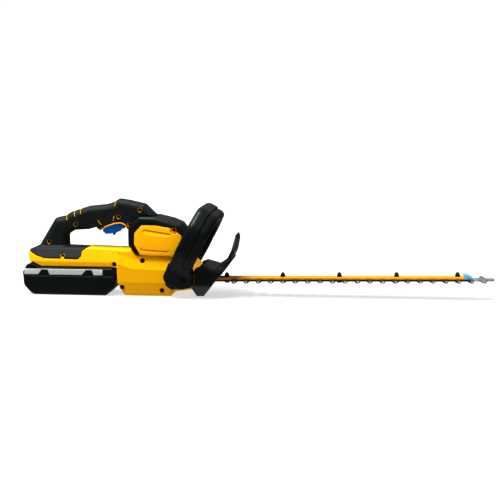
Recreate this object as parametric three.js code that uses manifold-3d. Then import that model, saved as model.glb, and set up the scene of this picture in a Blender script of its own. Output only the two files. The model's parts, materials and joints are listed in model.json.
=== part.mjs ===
// Cordless hedge trimmer: battery deck, rear handle, leaning front handle, hand guard, double-sided blade.
// Millimetres. +X runs to the blade tip, +Y to the tool's left side, +Z up. The tool stands on z = 0.

import * as THREE from 'three';
import { mergeVertices } from 'three/addons/utils/BufferGeometryUtils.js';
import Module from 'manifold-3d';

const wasm = await Module();
wasm.setup();

// ---------- Driving dimensions ----------

const GAP = 0.3; // between neighbouring pieces
const SPLIT = GAP / 2; // each housing half stops this far from the middle plane
const WALL = 2.6; // moulded wall
const SKIN = 2.7; // soft overmould on the moulding
const UNDER_SKIN = SKIN + GAP; // depth of the moulding below the overmould's surface
const INSIDE = UNDER_SKIN + WALL; // depth of the hollow below the overmould's surface

const GRIP_HALF = 18; // half widths, side to side
const DECK_HALF = 38;
const BODY_HALF = 42;
const SHROUD_HALF = 45;
const BATTERY_HALF = 41;
const FOOT_HALF = 60;
const GUARD_HALF = 62;
const SHIELD_HALF = 52;

const STROKE = 7; // each blade moves this far either way
const TOOTH_PITCH = 4 * STROKE;
const TEETH = 21;
const FIRST_TOOTH_X = 198;
const TOOTH_REACH = 41.5; // from the blade's middle line to its tooth tips
const BLADE_THICK = 2;
const BAR_HALF = 15;
const BAR_THICK = 5;
const BAR_END_X = 716;
const BOLT_XS = [179, 308, 437, 566, 702];
const BLADE_PITCH_DEG = 1; // the blade points slightly up
const BLADE_PLANE_Z = 32.7; // between the two blades, above the origin

const GEAR_MODULE = 2;
const PINION_TEETH = 9;
const GEAR_TEETH = 33;
const CRANK_X = 64;
const MOTOR_X = CRANK_X - GEAR_MODULE * (PINION_TEETH + GEAR_TEETH) / 2;

const HANDLE_LEAN_DEG = 27.5; // the front handle leans forward from upright
const HANDLE_FOOT = { x: 58, z: 27 };
const HANDLE_DEPTH = 26; // half of the loop's front-to-back depth
const LOOP_BEVEL = 4;
const SEAM = 3; // the shells of the loop meet this far in front of its middle

// ---------- Side outlines, as corners [x, z, corner radius] ----------

const DECK = [
  [-68, 65.5], [-68, 107], [-145, 110], [-190, 112], [-264, 111], [-280, 104, 6], [-280, 91],
  [-276, 78.5, 6], [-250, 65.5, 8],
];
const DECK_HOLLOW = [
  [-60, 77.5], [-60, 103], [-145, 104.5], [-262, 104.5], [-273, 99], [-272, 91], [-256, 77.5],
];
const BODY = [
  [-72, 62], [-72, 29, 8], [-56, 0, 7], [52, 0, 7], [64, 12, 8], [118, 20, 7], [126, 28, 7], [126, 58, 8],
  [106, 82, 8], [95, 97, 7], [-40, 107], [-72, 107],
];
const NOSE_TOP = [[80, 60], [140, 60], [140, 110], [80, 110]];
const SHROUD = [
  [-43, 118, 8], [-43, 152, 8], [-35, 169, 9], [-17, 184, 9], [18, 183, 12], [52, 175, 10], [74, 166, 10],
  [88, 146, 10], [92, 118, 8], [86, 93.5], [60, 94.5], [-26, 96],
];
const COVER = [
  [-29, 121, 5], [-28, 147, 5], [-11, 165, 5], [20, 165], [60, 158.5, 5], [81, 142, 5], [82, 122], [72, 97],
  [-14, 100.5, 5],
];
const PAD = [
  [-300, 101], [-279, 100], [-261, 91], [-242, 85.5], [-163, 83.5, 3], [-155, 91, 3], [-154, 102, 3],
  [-141, 111], [-141, 130], [-300, 130],
];
const GRIP = [
  [-263, 98], [-263, 108], [-221, 176, 12], [-198, 181], [-183, 190], [-141, 204], [-100, 208.5], [-81, 214],
  [-70, 222, 9], [-48, 219], [-9, 210.5, 9], [22, 181], [10, 160], [-30, 150], [-117, 146.5], [-125, 155],
  [-143, 150], [-176, 148, 10], [-191, 139, 9], [-191, 98],
];
const MOUTH = [
  [-116, 138], [-116, 146.5], [-98, 157, 10], [-78, 164, 10], [-64, 165, 5], [-55, 160, 4],
  [-50.5, 151], [-50.5, 138],
];
const TRIGGER = [
  [-111, 147, 3], [-105, 138.5, 4], [-89, 140], [-79, 144], [-58, 154, 3], [-59, 165, 3],
  [-84, 166], [-104, 160, 3],
];
const LOCK_OFF = [
  [-77, 154], [-68, 154], [-68, 147], [-79.5, 142.5], [-83.5, 136.5], [-88, 136.8], [-86, 144.5],
];
const BATTERY = [
  [-250, 64.3], [-272, 74.8], [-284, 69.5], [-295, 52, 10], [-292.5, 22, 14], [-271, 0, 18], [-98, 0, 8],
  [-89, 9], [-77, 19, 6], [-74.5, 34], [-74.5, 57, 6], [-81, 64.3, 4],
];
const BADGE = [
  [-288, 61], [-289, 48], [-256, 48], [-247, 59.5], [-233, 59.5], [-229, 48], [-153, 48], [-143, 59.5],
  [-129, 59.5], [-125, 48], [-104, 48], [-104, 61],
];
const GUARD_HOOD = [
  [103, 26], [111, 0], [127, 0], [165, 49], [193, 86], [178, 82], [157, 67], [128, 76, 5], [115, 71],
  [108, 60, 5], [112, 53], [112, 34],
];
const GUARD_SHIELD = [
  [158, 40], [190, 82], [199.5, 106], [205.5, 133], [203, 147, 2], [200.5, 134], [194.5, 109],
  [184, 88], [152, 48],
];

// ---------- Front outlines of the guard, as corners [y, z, corner radius] ----------

const HOOD_FRONT = [
  [-20, 0], [-GUARD_HALF, 32], [-GUARD_HALF, 60], [-44, 95], [44, 95], [GUARD_HALF, 60],
  [GUARD_HALF, 32], [20, 0],
];
const SHIELD_FRONT = [
  [-SHIELD_HALF, 38, 4], [-SHIELD_HALF, 84, 14], [-44, 112, 20], [-24, 148, 14],
  [24, 148, 14], [44, 112, 20], [SHIELD_HALF, 84, 14], [SHIELD_HALF, 38, 4],
];

// The front handle's outlines lie in its own leaning frame: y across, z up the lean, x through the loop.
const LOOP_OUTSIDE = [[60, 8], [61, 30, 30], [98, 84, 50], [98, 150, 40], [68, 196, 34]];
const LOOP_INSIDE = [[44.8, 8], [45, 38, 20], [71, 88, 40], [71, 142, 24], [52, 168, 18]];
const FOOT = [[-26, 44], [-23, 14, 8], [-13, -3, 6], [3, -6, 6], [41, 19, 6], [43, 27, 6], [26, 58]];
const FOOT_SCREW = { x: 18, z: 30 };

// Housing screws as [x, z, half width of the surface they sink into, collar through the overmould].
const SCREWS = [
  [-77, 73, DECK_HALF, false], [-11, 83, BODY_HALF, false], [-60, 20, BODY_HALF, false],
  [33, 14, BODY_HALF, false], [-199, 92, DECK_HALF, true], [-235, 121, GRIP_HALF, true],
  [-171.5, 162, GRIP_HALF, true], [-70, 181, GRIP_HALF, true], [-20, 197, GRIP_HALF, true],
  [-45, 163, GRIP_HALF, true], [64, 155, SHROUD_HALF, true],
];
const SCREW = { head: 3.4, headThick: 3, shank: 1.6, sink: 5, recess: 4.1, boss: 5.2 };

// ---------- Materials ----------

function finish(color, roughness, metalness) {
  return new THREE.MeshStandardMaterial({ color, roughness, metalness });
}
const YELLOW = finish(0xf5b416, 0.45, 0);
const BLACK = finish(0x16181a, 0.55, 0);
const SOFT_BLACK = finish(0x101214, 0.8, 0);
const BLUE = finish(0x2f74e6, 0.4, 0);
const SILVER = finish(0xa9b8b4, 0.35, 0.6);
const STEEL = finish(0x8c9490, 0.35, 0.9);
const DARK_STEEL = finish(0x1b1c1f, 0.45, 0.8);
const BAR_YELLOW = finish(0xf0a81c, 0.4, 0.3);
const ALUMINIUM = finish(0xa7abae, 0.45, 0.8);
const COPPER = finish(0xb5703a, 0.4, 0.7);
const GREEN_BOARD = finish(0x1f6b3a, 0.6, 0);

// ---------- Geometry helpers ----------

// Replaces each corner that has a radius by an arc tangent to its two edges.
function roundCorners(corners, steps = 2) {
  const points = [];
  corners.forEach(([x, z, radius = 0], i) => {
    const corner = new THREE.Vector2(x, z);
    if (radius === 0) {
      points.push(corner);
      return;
    }
    const [before, after] = [corners.at(i - 1), corners[(i + 1) % corners.length]];
    const back = new THREE.Vector2(before[0], before[1]).sub(corner);
    const ahead = new THREE.Vector2(after[0], after[1]).sub(corner);
    const half = Math.acos(back.dot(ahead) / back.length() / ahead.length()) / 2;
    const reach = Math.min(radius / Math.tan(half), 0.48 * back.length(), 0.48 * ahead.length());
    const start = corner.clone().add(back.setLength(reach));
    const end = corner.clone().add(ahead.setLength(reach));
    points.push(...new THREE.QuadraticBezierCurve(start, corner, end).getPoints(steps));
  });
  return points;
}

// Moves every edge of an outline inwards by `depth` (outwards when it is negative), keeping its corners.
function inset(corners, depth) {
  const area = THREE.ShapeUtils.area(corners.map(([x, z]) => ({ x, y: z })));
  const side = Math.sign(area) * depth;
  return corners.map(([x, z, radius = 0], i) => {
    const [before, after] = [corners.at(i - 1), corners[(i + 1) % corners.length]];
    const a = new THREE.Vector2(x - before[0], z - before[1]).normalize();
    const b = new THREE.Vector2(after[0] - x, after[1] - z).normalize();
    const bend = 1 + a.dot(b);
    return [x - side * (a.y + b.y) / bend, z + side * (a.x + b.x) / bend, radius];
  });
}

const sharp = (corners) => corners.map(([x, z]) => [x, z]);

function solidOf(geometry) {
  geometry.deleteAttribute('normal');
  geometry.deleteAttribute('uv');
  const merged = mergeVertices(geometry, 1e-4);
  return new wasm.Manifold(new wasm.Mesh({
    numProp: 3,
    vertProperties: Float32Array.from(merged.attributes.position.array),
    triVerts: Uint32Array.from(merged.index.array),
  }));
}

function geometryOf(solid) {
  const mesh = solid.getMesh();
  const geometry = new THREE.BufferGeometry();
  geometry.setAttribute('position', new THREE.BufferAttribute(mesh.vertProperties, 3));
  geometry.setIndex(new THREE.BufferAttribute(mesh.triVerts, 1));
  geometry.computeVertexNormals();
  return geometry;
}

const AXIS_X = new THREE.Vector3(1, 0, 0);
const AXIS_Y = new THREE.Vector3(0, 1, 0);
const AXIS_Z = new THREE.Vector3(0, 0, 1);
const BACK_Y = new THREE.Vector3(0, -1, 0);

// Extrudes an outline between two planes, with `bevel` taken off both edges inside the outline.
function extrude(corners, basis, low, high, bevel) {
  const geometry = new THREE.ExtrudeGeometry(new THREE.Shape(roundCorners(corners)), {
    depth: high - low - 2 * bevel,
    bevelEnabled: bevel > 0,
    bevelThickness: bevel,
    bevelSize: bevel,
    bevelOffset: -bevel,
    bevelSegments: 1,
  });
  geometry.translate(0, 0, low + bevel);
  return solidOf(geometry.applyMatrix4(new THREE.Matrix4().makeBasis(...basis)));
}

// A side outline (x, z) carried across the tool from y = low to y = high.
const SIDEWAYS = [AXIS_X, AXIS_Z, BACK_Y];
const across = (corners, low, high, bevel = 0) => extrude(corners, SIDEWAYS, -high, -low, bevel);
// A front outline (y, z) carried along x, and a plan outline (x, y) carried up z.
const LENGTHWAYS = [AXIS_Y, AXIS_Z, AXIS_X];
const along = (corners, low, high, bevel = 0) => extrude(corners, LENGTHWAYS, low, high, bevel);
const UPWARDS = [AXIS_X, AXIS_Y, AXIS_Z];
const upright = (corners, low, high, bevel = 0) => extrude(corners, UPWARDS, low, high, bevel);

function box(low, high) {
  const size = high.map((value, i) => value - low[i]);
  const geometry = new THREE.BoxGeometry(...size);
  return solidOf(geometry.translate(...low.map((value, i) => value + size[i] / 2)));
}

function rodY(x, z, radius, low, high, sides = 10) {
  const geometry = new THREE.CylinderGeometry(radius, radius, high - low, sides);
  return solidOf(geometry.translate(x, (low + high) / 2, z));
}

function rodZ(x, y, radius, low, high, sides = 24, topRadius = radius) {
  const geometry = new THREE.CylinderGeometry(topRadius, radius, high - low, sides);
  geometry.rotateX(Math.PI / 2);
  return solidOf(geometry.translate(x, y, (low + high) / 2));
}

const join = (first, ...others) => others.reduce((sum, other) => sum.add(other), first);
const cut = (first, ...others) => others.reduce((rest, other) => rest.subtract(other), first);

const FAR = 400; // past the end of everything in any direction
const rightSide = () => box([-FAR, -FAR, -FAR], [FAR, -SPLIT, FAR]);
const leftSide = () => box([-FAR, SPLIT, -FAR], [FAR, FAR, FAR]);

// The span from a to b out from the middle plane, on one side (-1 right, 1 left), as [low, high].
const sideSpan = (side, a, b) => (side < 0 ? [-b, -a] : [a, b]);
const SIDES = [['right', -1], ['left', 1]];

function node(name, solid, material) {
  const mesh = new THREE.Mesh(geometryOf(solid), material);
  mesh.name = name;
  return mesh;
}

// ---------- Frames ----------

const trimmer = new THREE.Group();

// The drive train and the blades share a frame that points slightly up.
const drive = new THREE.Group();
drive.position.set(0, 0, BLADE_PLANE_Z);
drive.rotation.y = -THREE.MathUtils.degToRad(BLADE_PITCH_DEG);
trimmer.add(drive);

const loop = new THREE.Group();
loop.position.set(HANDLE_FOOT.x, 0, HANDLE_FOOT.z);
loop.rotation.y = THREE.MathUtils.degToRad(HANDLE_LEAN_DEG);
loop.updateMatrixWorld();
trimmer.add(loop);

const footScrew = new THREE.Vector3(FOOT_SCREW.x, 0, FOOT_SCREW.z).applyMatrix4(loop.matrixWorld);

// ---------- Housing, overmould and motor shroud ----------

const widths = (half, depth) => [depth - half, half - depth];

// The outside of the handle, deck, body and shroud, pulled in by `depth` all round.
const fullForm = (corners, half, bevel, depth) => (
  across(inset(corners, depth), ...widths(half, depth), Math.max(bevel - depth, 1))
);
const gripForm = (depth) => fullForm(GRIP, GRIP_HALF, 7, depth);
const deckForm = (depth) => fullForm(DECK, DECK_HALF, 5, depth);
const shroudForm = (depth) => fullForm(SHROUD, SHROUD_HALF, 6, depth);
const bodyForm = across(BODY, -BODY_HALF, BODY_HALF, 6);

const mouth = (margin = 0) => across(inset(MOUTH, -margin), -FAR, FAR);
const padRegion = (margin = 0) => across(inset(PAD, -margin), -FAR, FAR);
const RIM = 3.6; // width of the yellow rim round the trigger

const noseStep = across(NOSE_TOP, -FAR, FAR);
const motorWell = box([-22, -37, 85], [82, 37, 108]); // the motor reaches down from the shroud into the body
const shroudRoom = cut(shroudForm(-GAP), bodyForm.intersect(noseStep));

// Space the screws need: a collar or boss, its sunk head and its shank.
const screwParts = SCREWS.map(([x, z, half, collar]) => {
  const floor = -half + SCREW.sink;
  const farWall = half - (collar ? UNDER_SKIN + 1 : 1.5);
  return {
    x, z, floor,
    boss: rodY(x, z, SCREW.boss, -half - 1, farWall, 8),
    room: rodY(x, z, SCREW.boss + GAP, -half - 3, -half + 12, 8),
    hole: join(
      rodY(x, z, SCREW.recess, -half - 3, floor + SCREW.headThick + GAP),
      rodY(x, z, SCREW.shank + GAP, floor, half < 20 ? 9 : 12, 6),
    ),
    collar,
  };
});
const collars = screwParts.filter((part) => part.collar);

function buildOvermould() {
  const outside = join(gripForm(0), deckForm(0).intersect(padRegion()));
  return cut(
    outside, gripForm(SKIN), deckForm(SKIN), shroudRoom, mouth(RIM + GAP),
    across(inset(DECK, SKIN), -GRIP_HALF - 1, GRIP_HALF + 1), ...collars.map((part) => part.room),
  );
}

function buildHousing() {
  const rim = cut(gripForm(0).intersect(mouth(RIM)), shroudRoom);
  const yellow = join(
    cut(deckForm(0), padRegion(GAP)), cut(bodyForm, shroudRoom), cut(gripForm(UNDER_SKIN), shroudRoom),
    deckForm(UNDER_SKIN), shroudForm(UNDER_SKIN), rim,
  );
  const envelope = join(gripForm(0.2), deckForm(0.2), shroudForm(0.2), bodyForm);
  const bosses = screwParts.map((part) => part.boss.intersect(envelope));
  const hollow = join(
    across(DECK_HOLLOW, ...widths(DECK_HALF, INSIDE)),
    across(sharp(inset(BODY, WALL)), ...widths(BODY_HALF, WALL), 3),
    across(sharp(inset(GRIP, INSIDE)), ...widths(GRIP_HALF, INSIDE), 1.5),
    across(sharp(inset(SHROUD, INSIDE)), ...widths(SHROUD_HALF, INSIDE), 1.5),
    motorWell,
  );
  const footBosses = SIDES.map(([, side]) => rodY(footScrew.x, footScrew.z, 7, ...sideSpan(side, 30, 41)));
  const footHoles = rodY(footScrew.x, footScrew.z, 2.8 + GAP, -FAR, FAR);
  const bay = join(
    box([-FAR, -25.4, 60], [-86, 25.4, 70]),
    box([-FAR, -31.5, 68.4], [-86, 31.5, 74.5]),
  );
  const triggerSlot = across(
    [[-116, 130], [-116, 166], [-104, 178], [-60, 178], [-52, 170], [-50.5, 130]], -10.5, 10.5,
  );
  const bladeMouth = box([110, -27, 25], [FAR, 27, 47]);
  return cut(
    join(cut(yellow, hollow), ...bosses, ...footBosses.map((boss) => boss.intersect(envelope))),
    bay, mouth(), triggerSlot, bladeMouth, footHoles, ...screwParts.map((part) => part.hole),
  );
}

function buildShroud() {
  const openings = SIDES.map(([, side]) => across(inset(COVER, -GAP), ...sideSpan(side, 30, FAR)));
  return cut(
    shroudForm(0), shroudForm(SKIN), bodyForm.intersect(noseStep), motorWell, ...openings,
    ...collars.map((part) => part.room),
  );
}

// The vented motor cover, with a raised middle and a slot pocket above and below it.
function buildCover() {
  const pocket = (corners) => across(corners, SHROUD_HALF - 0.6, FAR);
  return cut(
    across(COVER, SHROUD_HALF - SKIN, SHROUD_HALF + 1.2, 1.2),
    pocket([[-9, 147], [0, 155], [48, 150], [54, 143]]),
    pocket([[-12, 113], [-5, 107], [46, 104], [54, 110]]),
    rodY(64, 155, 9, 0, FAR, 16), rodY(64, 155, 9, -FAR, 0, 16),
  );
}

const housing = buildHousing();
// A lip on the right half laps under the left one along the flat bottom.
const lip = (margin) => box([-40 - margin, -1, -1], [40 + margin, 4 + margin, 1.3 + margin]);
trimmer.add(
  node('housing_right', join(housing.intersect(rightSide()), housing.intersect(lip(0))), YELLOW),
  node('housing_left', cut(housing.intersect(leftSide()), lip(GAP)), YELLOW),
);

const overmould = buildOvermould();
trimmer.add(
  node('grip_overmould_right', overmould.intersect(rightSide()), SOFT_BLACK),
  node('grip_overmould_left', overmould.intersect(leftSide()), SOFT_BLACK),
);

const shroud = buildShroud();
trimmer.add(
  node('motor_shroud_right', shroud.intersect(rightSide()), BLACK),
  node('motor_shroud_left', shroud.intersect(leftSide()), BLACK),
);

const cover = buildCover();
const mirrored = (solid) => {
  const geometry = geometryOf(solid).scale(1, -1, 1);
  const index = geometry.index.array;
  for (let i = 0; i < index.length; i += 3) {
    [index[i], index[i + 1]] = [index[i + 1], index[i]];
  }
  return solidOf(geometry);
};
trimmer.add(node('motor_cover_right', mirrored(cover), YELLOW), node('motor_cover_left', cover, YELLOW));

screwParts.forEach(({ x, z, floor }, i) => {
  const shankEnd = floor > -20 ? 8 : 11;
  const screw = join(
    rodY(x, z, SCREW.head, floor, floor + SCREW.headThick),
    rodY(x, z, SCREW.shank, floor + 1, shankEnd, 6),
  );
  trimmer.add(node(`housing_screw_${String(i + 1).padStart(2, '0')}`, screw, DARK_STEEL));
});

// ---------- Trigger group ----------

const TRIGGER_PIVOT = { x: -63, z: 160 };
const LOCK_PIVOT = { x: -72.5, z: 150.5 };

trimmer.add(
  node('trigger', cut(
    across(TRIGGER, -9, 9, 2), rodY(TRIGGER_PIVOT.x, TRIGGER_PIVOT.z, 1.8, -FAR, FAR),
    across([[-95, 130], [-95, 145], [-85, 156.5], [-65, 156.5], [-60, 148], [-60, 130]], -4, 4),
  ), BLUE),
  node('lock_off_lever', across(LOCK_OFF, -3.5, 3.5, 0.8), BLUE),
  node('trigger_pin', rodY(TRIGGER_PIVOT.x, TRIGGER_PIVOT.z, 1.5, -10.3, 10.3), STEEL),
);

const SPRING = { x: -98, low: 163.2, high: 176.6, radius: 4, wire: 0.7, turns: 4 };
class Helix extends THREE.Curve {
  getPoint(t, target = new THREE.Vector3()) {
    const angle = 2 * Math.PI * SPRING.turns * t;
    const rise = SPRING.low + SPRING.wire + t * (SPRING.high - SPRING.low - 2 * SPRING.wire);
    return target.set(SPRING.x + SPRING.radius * Math.cos(angle), SPRING.radius * Math.sin(angle), rise);
  }
}
const wire = new THREE.Shape().absarc(0, 0, SPRING.wire, 0, 2 * Math.PI);
const springForm = new THREE.ExtrudeGeometry(wire, { extrudePath: new Helix(), steps: 32, curveSegments: 2 });
trimmer.add(
  node('trigger_spring', solidOf(springForm), STEEL),
  node('trigger_switch', join(
    box([-112, -9, 177], [-82, 9, 195]),
    box([-90, -4, 170.5], [-85, 4, 178]),
  ), BLACK),
);

// ---------- Front handle ----------

const loopCorners = () => {
  const half = [...LOOP_OUTSIDE, ...[...LOOP_OUTSIDE].reverse().map(([y, z, r]) => [-y, z, r])];
  const inner = [...LOOP_INSIDE.map(([y, z, r]) => [-y, z, r]), ...[...LOOP_INSIDE].reverse()];
  return [...half, ...inner];
};

function loopHalf(step, low, high) {
  const form = along(inset(loopCorners(), step), -HANDLE_DEPTH, HANDLE_DEPTH, LOOP_BEVEL);
  const room = along(inset(loopCorners(), step + 3), -HANDLE_DEPTH + 3, HANDLE_DEPTH - 3);
  return cut(form, room).intersect(box([low, -FAR, -FAR], [high, FAR, FAR]));
}

const feet = join(across(FOOT, 44.8, FOOT_HALF, 3), across(FOOT, -FOOT_HALF, -44.8, 3));
const footRecess = (side) => rodY(FOOT_SCREW.x, FOOT_SCREW.z, 6, ...sideSpan(side, FOOT_HALF - 4, FAR), 16);
const FOOT_TOP = 60; // the front shell starts above the feet
const shellScrewXs = [-84.5, 84.5];
const frontCut = box([SEAM, -FAR, -FAR], [FAR, FAR, FOOT_TOP + GAP]);
const solidLeg = along(loopCorners(), -HANDLE_DEPTH, HANDLE_DEPTH, LOOP_BEVEL)
  .intersect(box([-FAR, -FAR, -FAR], [FAR, FAR, FOOT_TOP]));
const rearShell = cut(
  join(loopHalf(0, -FAR, SEAM), cut(solidLeg, box([-20, -FAR, 50], [20, FAR, FAR])), feet),
  rodY(FOOT_SCREW.x, FOOT_SCREW.z, 2.8 + GAP, -FAR, FAR), footRecess(-1), footRecess(1),
);
const frontShell = cut(loopHalf(3.5, SEAM + GAP, FAR), frontCut);

const rodX = (y, z, radius, low, high, sides = 12) => {
  const geometry = new THREE.CylinderGeometry(radius, radius, high - low, sides).rotateZ(Math.PI / 2);
  return solidOf(geometry.translate((low + high) / 2, y, z));
};
const SHELL_SCREW_Z = 120;
const shellPosts = shellScrewXs.map((y) => rodX(y, SHELL_SCREW_Z, 5, -HANDLE_DEPTH + 2, SEAM, 10));
const shellPostHoles = shellScrewXs.map((y) => rodX(y, SHELL_SCREW_Z, 1.9, -10, FAR, 8));
const shellCups = shellScrewXs.map((y) => rodX(y, SHELL_SCREW_Z, 6, SEAM + GAP, HANDLE_DEPTH - 1, 10));
const shellRecesses = shellScrewXs.map((y) => rodX(y, SHELL_SCREW_Z, 4.1, SEAM + GAP + 3, FAR));
loop.add(
  node('front_handle_rear_shell', cut(join(rearShell, ...shellPosts), ...shellPostHoles), BLACK),
  node('front_handle_front_shell', cut(
    join(frontShell, ...shellCups), ...shellPostHoles, ...shellRecesses,
  ), BLACK),
);
shellScrewXs.forEach((y, i) => {
  const screw = join(
    rodX(y, SHELL_SCREW_Z, 3.4, SEAM + 3.6, SEAM + 6.6),
    rodX(y, SHELL_SCREW_Z, 1.6, -9, SEAM + 4, 8),
  );
  loop.add(node(`handle_shell_screw_${i + 1}`, screw, DARK_STEEL));
});
SIDES.forEach(([name, side]) => {
  const screw = join(
    rodY(FOOT_SCREW.x, FOOT_SCREW.z, 5, ...sideSpan(side, FOOT_HALF - 3.7, FOOT_HALF - 0.5), 16),
    rodY(FOOT_SCREW.x, FOOT_SCREW.z, 2.8, ...sideSpan(side, 33, FOOT_HALF - 3)),
  );
  loop.add(node(`handle_foot_screw_${name}`, screw, DARK_STEEL));
});

// ---------- Hand guard ----------

const footRoom = () => {
  const room = across(inset(FOOT, -1), -FOOT_HALF - 1, FOOT_HALF + 1);
  const form = geometryOf(room).applyMatrix4(loop.matrixWorld);
  return solidOf(form);
};
const shield = across(GUARD_SHIELD, -SHIELD_HALF, SHIELD_HALF, 1).intersect(along(SHIELD_FRONT, 100, 260));
const GUARD_WALL = 4;
const hood = across(GUARD_HOOD, -GUARD_HALF, GUARD_HALF, 2).intersect(along(HOOD_FRONT, 90, 200));
const hoodHollow = join(
  across(sharp(inset(GUARD_HOOD, GUARD_WALL)), -FAR, FAR),
  box([90, -FAR, 29], [122, FAR, 66]),
).intersect(along(inset(HOOD_FRONT, GUARD_WALL), 80, 220));
trimmer.add(node('hand_guard', cut(
  join(shield, hood), hoodHollow, footRoom(), across(inset(BODY, -0.8), -BODY_HALF - 0.8, BODY_HALF + 0.8),
  box([110, -24, 26], [FAR, 24, 48]),
), BLACK));

// ---------- Motor, gears and crank (drive frame) ----------

const MOTOR = { radius: 25, wall: 3, low: 48.4, high: 108 };
const GEAR = { low: 28, high: 36 };
const CRANK = { shaft: 6, bearing: 6.4, disc: 9, top: 43 };
const CASE = { floor: 22, plate: 26, rim: 39, top: 44, big: 38.4, small: 13, wall: 2.2 };

function gearOutline(teeth, phase = 0) {
  const pitchRadius = GEAR_MODULE * teeth / 2;
  const root = pitchRadius - 1.1 * GEAR_MODULE;
  const tip = pitchRadius + 0.8 * GEAR_MODULE;
  const profile = [[root, -0.31], [tip, -0.11], [tip, 0.11], [root, 0.31]];
  return Array.from({ length: teeth }, (_, tooth) => profile.map(([radius, share]) => {
    const angle = 2 * Math.PI * (tooth + share + phase) / teeth;
    return [radius * Math.cos(angle), radius * Math.sin(angle)];
  })).flat();
}
const shifted = (corners, x) => corners.map(([a, b, radius]) => [a + x, b, radius]);

// Plan outline of the gear case: a large round end at the crank and a small one at the motor.
function casePlan(bigRadius, smallRadius) {
  const lean = Math.acos((bigRadius - smallRadius) / (CRANK_X - MOTOR_X));
  const arc = (x, radius, from, to, steps) => Array.from({ length: steps + 1 }, (_, i) => {
    const angle = from + (to - from) * i / steps;
    return [x + radius * Math.cos(angle), radius * Math.sin(angle)];
  });
  const turn = Math.PI - lean;
  const bigEnd = arc(CRANK_X, bigRadius, -turn, turn, 20);
  const smallEnd = arc(MOTOR_X, smallRadius, turn, 2 * Math.PI - turn, 8);
  return [...bigEnd, ...smallEnd];
}

const motorCan = cut(
  rodZ(MOTOR_X, 0, MOTOR.radius, MOTOR.low, MOTOR.high, 20),
  rodZ(MOTOR_X, 0, MOTOR.radius - MOTOR.wall, MOTOR.low + 3, MOTOR.high - 3, 20),
  rodZ(MOTOR_X, 0, 10, MOTOR.low - 1, MOTOR.low + 4, 16),
  rodZ(MOTOR_X, 0, 4.3, MOTOR.high - 4, MOTOR.high + 1, 12),
);
const rotor = join(
  rodZ(MOTOR_X, 0, 4, GEAR.low - 1, MOTOR.high + 3, 12),
  rodZ(MOTOR_X, 0, 18, MOTOR.low + 8, MOTOR.high - 8, 20),
);
const pinion = cut(
  upright(shifted(gearOutline(PINION_TEETH), MOTOR_X), GEAR.low - 0.5, GEAR.high + 0.5),
  rodZ(MOTOR_X, 0, 4.1, 0, 60, 12),
);
const driveGear = cut(
  upright(shifted(gearOutline(GEAR_TEETH), CRANK_X), GEAR.low, GEAR.high),
  rodZ(CRANK_X, 0, CRANK.shaft + 0.1, 0, FAR, 16),
);
const crankShaft = join(
  rodZ(CRANK_X, 0, CRANK.shaft, BLADE_THICK, CRANK.top, 16),
  rodZ(CRANK_X, STROKE, CRANK.disc, 0, BLADE_THICK + 0.2),
  rodZ(CRANK_X, -STROKE, CRANK.disc, -BLADE_THICK - 0.1, 0.2),
);
const crankBearing = () => rodZ(CRANK_X, 0, CRANK.bearing, 0, FAR, 16);
const lowerCase = cut(
  join(
    upright(casePlan(CASE.big, CASE.small), CASE.floor, CASE.rim),
    rodZ(CRANK_X, 0, 11, 13, CASE.floor + 1, 20),
    box([90, -BAR_HALF, BLADE_THICK + BAR_THICK + 1], [112, BAR_HALF, 32]),
  ),
  upright(casePlan(CASE.big - CASE.wall, CASE.small - CASE.wall), CASE.plate, CASE.rim + 1),
  crankBearing(),
);
const upperCase = cut(
  join(
    upright(casePlan(CASE.big, CASE.small), CASE.rim + GAP, CASE.top),
    rodZ(MOTOR_X, 0, 16, CASE.top - 1, MOTOR.low - GAP, 20),
  ),
  crankBearing(), rodZ(MOTOR_X, 0, 10.4, 0, FAR, 16),
);
drive.add(
  node('motor_can', motorCan, STEEL), node('motor_rotor', rotor, COPPER), node('motor_pinion', pinion, STEEL),
  node('drive_gear', driveGear, STEEL), node('crank_shaft', crankShaft, STEEL),
  node('gear_case_lower', lowerCase, ALUMINIUM), node('gear_case_upper', upperCase, ALUMINIUM),
);

// ---------- Blades, bar and bolts (drive frame) ----------

const BLADE_ROOT_X = CRANK_X - 30;
const BLADE_TIP_X = 783;
const SPINE_HALF = 12;
const YOKE = { half: CRANK.disc + 2 * STROKE + 0.7, width: CRANK.disc + STROKE + 0.7 };
const BOLT_RADIUS = 3.4;

// One edge of a blade, root to tip: a plain shank, the teeth, and the bare tip.
function bladeEdge(reach) {
  const edge = [[BLADE_ROOT_X, 23], [CRANK_X + 32, 23], [CRANK_X + 44, SPINE_HALF]];
  for (let tooth = 0; tooth < TEETH; tooth += 1) {
    const x = FIRST_TOOTH_X + tooth * TOOTH_PITCH;
    edge.push([x - 8, SPINE_HALF], [x - 2.5, reach], [x + 3.5, reach], [x + 7, SPINE_HALF]);
  }
  return [...edge, [BLADE_TIP_X - 5, SPINE_HALF - 3], [BLADE_TIP_X, 5]];
}

function buildBlade(low, reach) {
  const edge = bladeEdge(reach);
  const plan = [...edge, ...[...edge].reverse().map(([x, y]) => [x, -y])];
  const slot = (x) => {
    const half = STROKE + BOLT_RADIUS + 0.6;
    const wide = BOLT_RADIUS + 0.6;
    return box([x - half, -wide, low - 1], [x + half, wide, low + BLADE_THICK + 1]);
  };
  const yoke = box(
    [CRANK_X - YOKE.half, -YOKE.width, low - 1],
    [CRANK_X + YOKE.half, YOKE.width, low + BLADE_THICK + 1],
  );
  return cut(upright(plan, low, low + BLADE_THICK), yoke, ...BOLT_XS.map(slot));
}
drive.add(
  node('upper_blade', buildBlade(SPLIT, TOOTH_REACH - 0.7), STEEL),
  node('lower_blade', buildBlade(-SPLIT - BLADE_THICK, TOOTH_REACH), STEEL),
);

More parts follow.
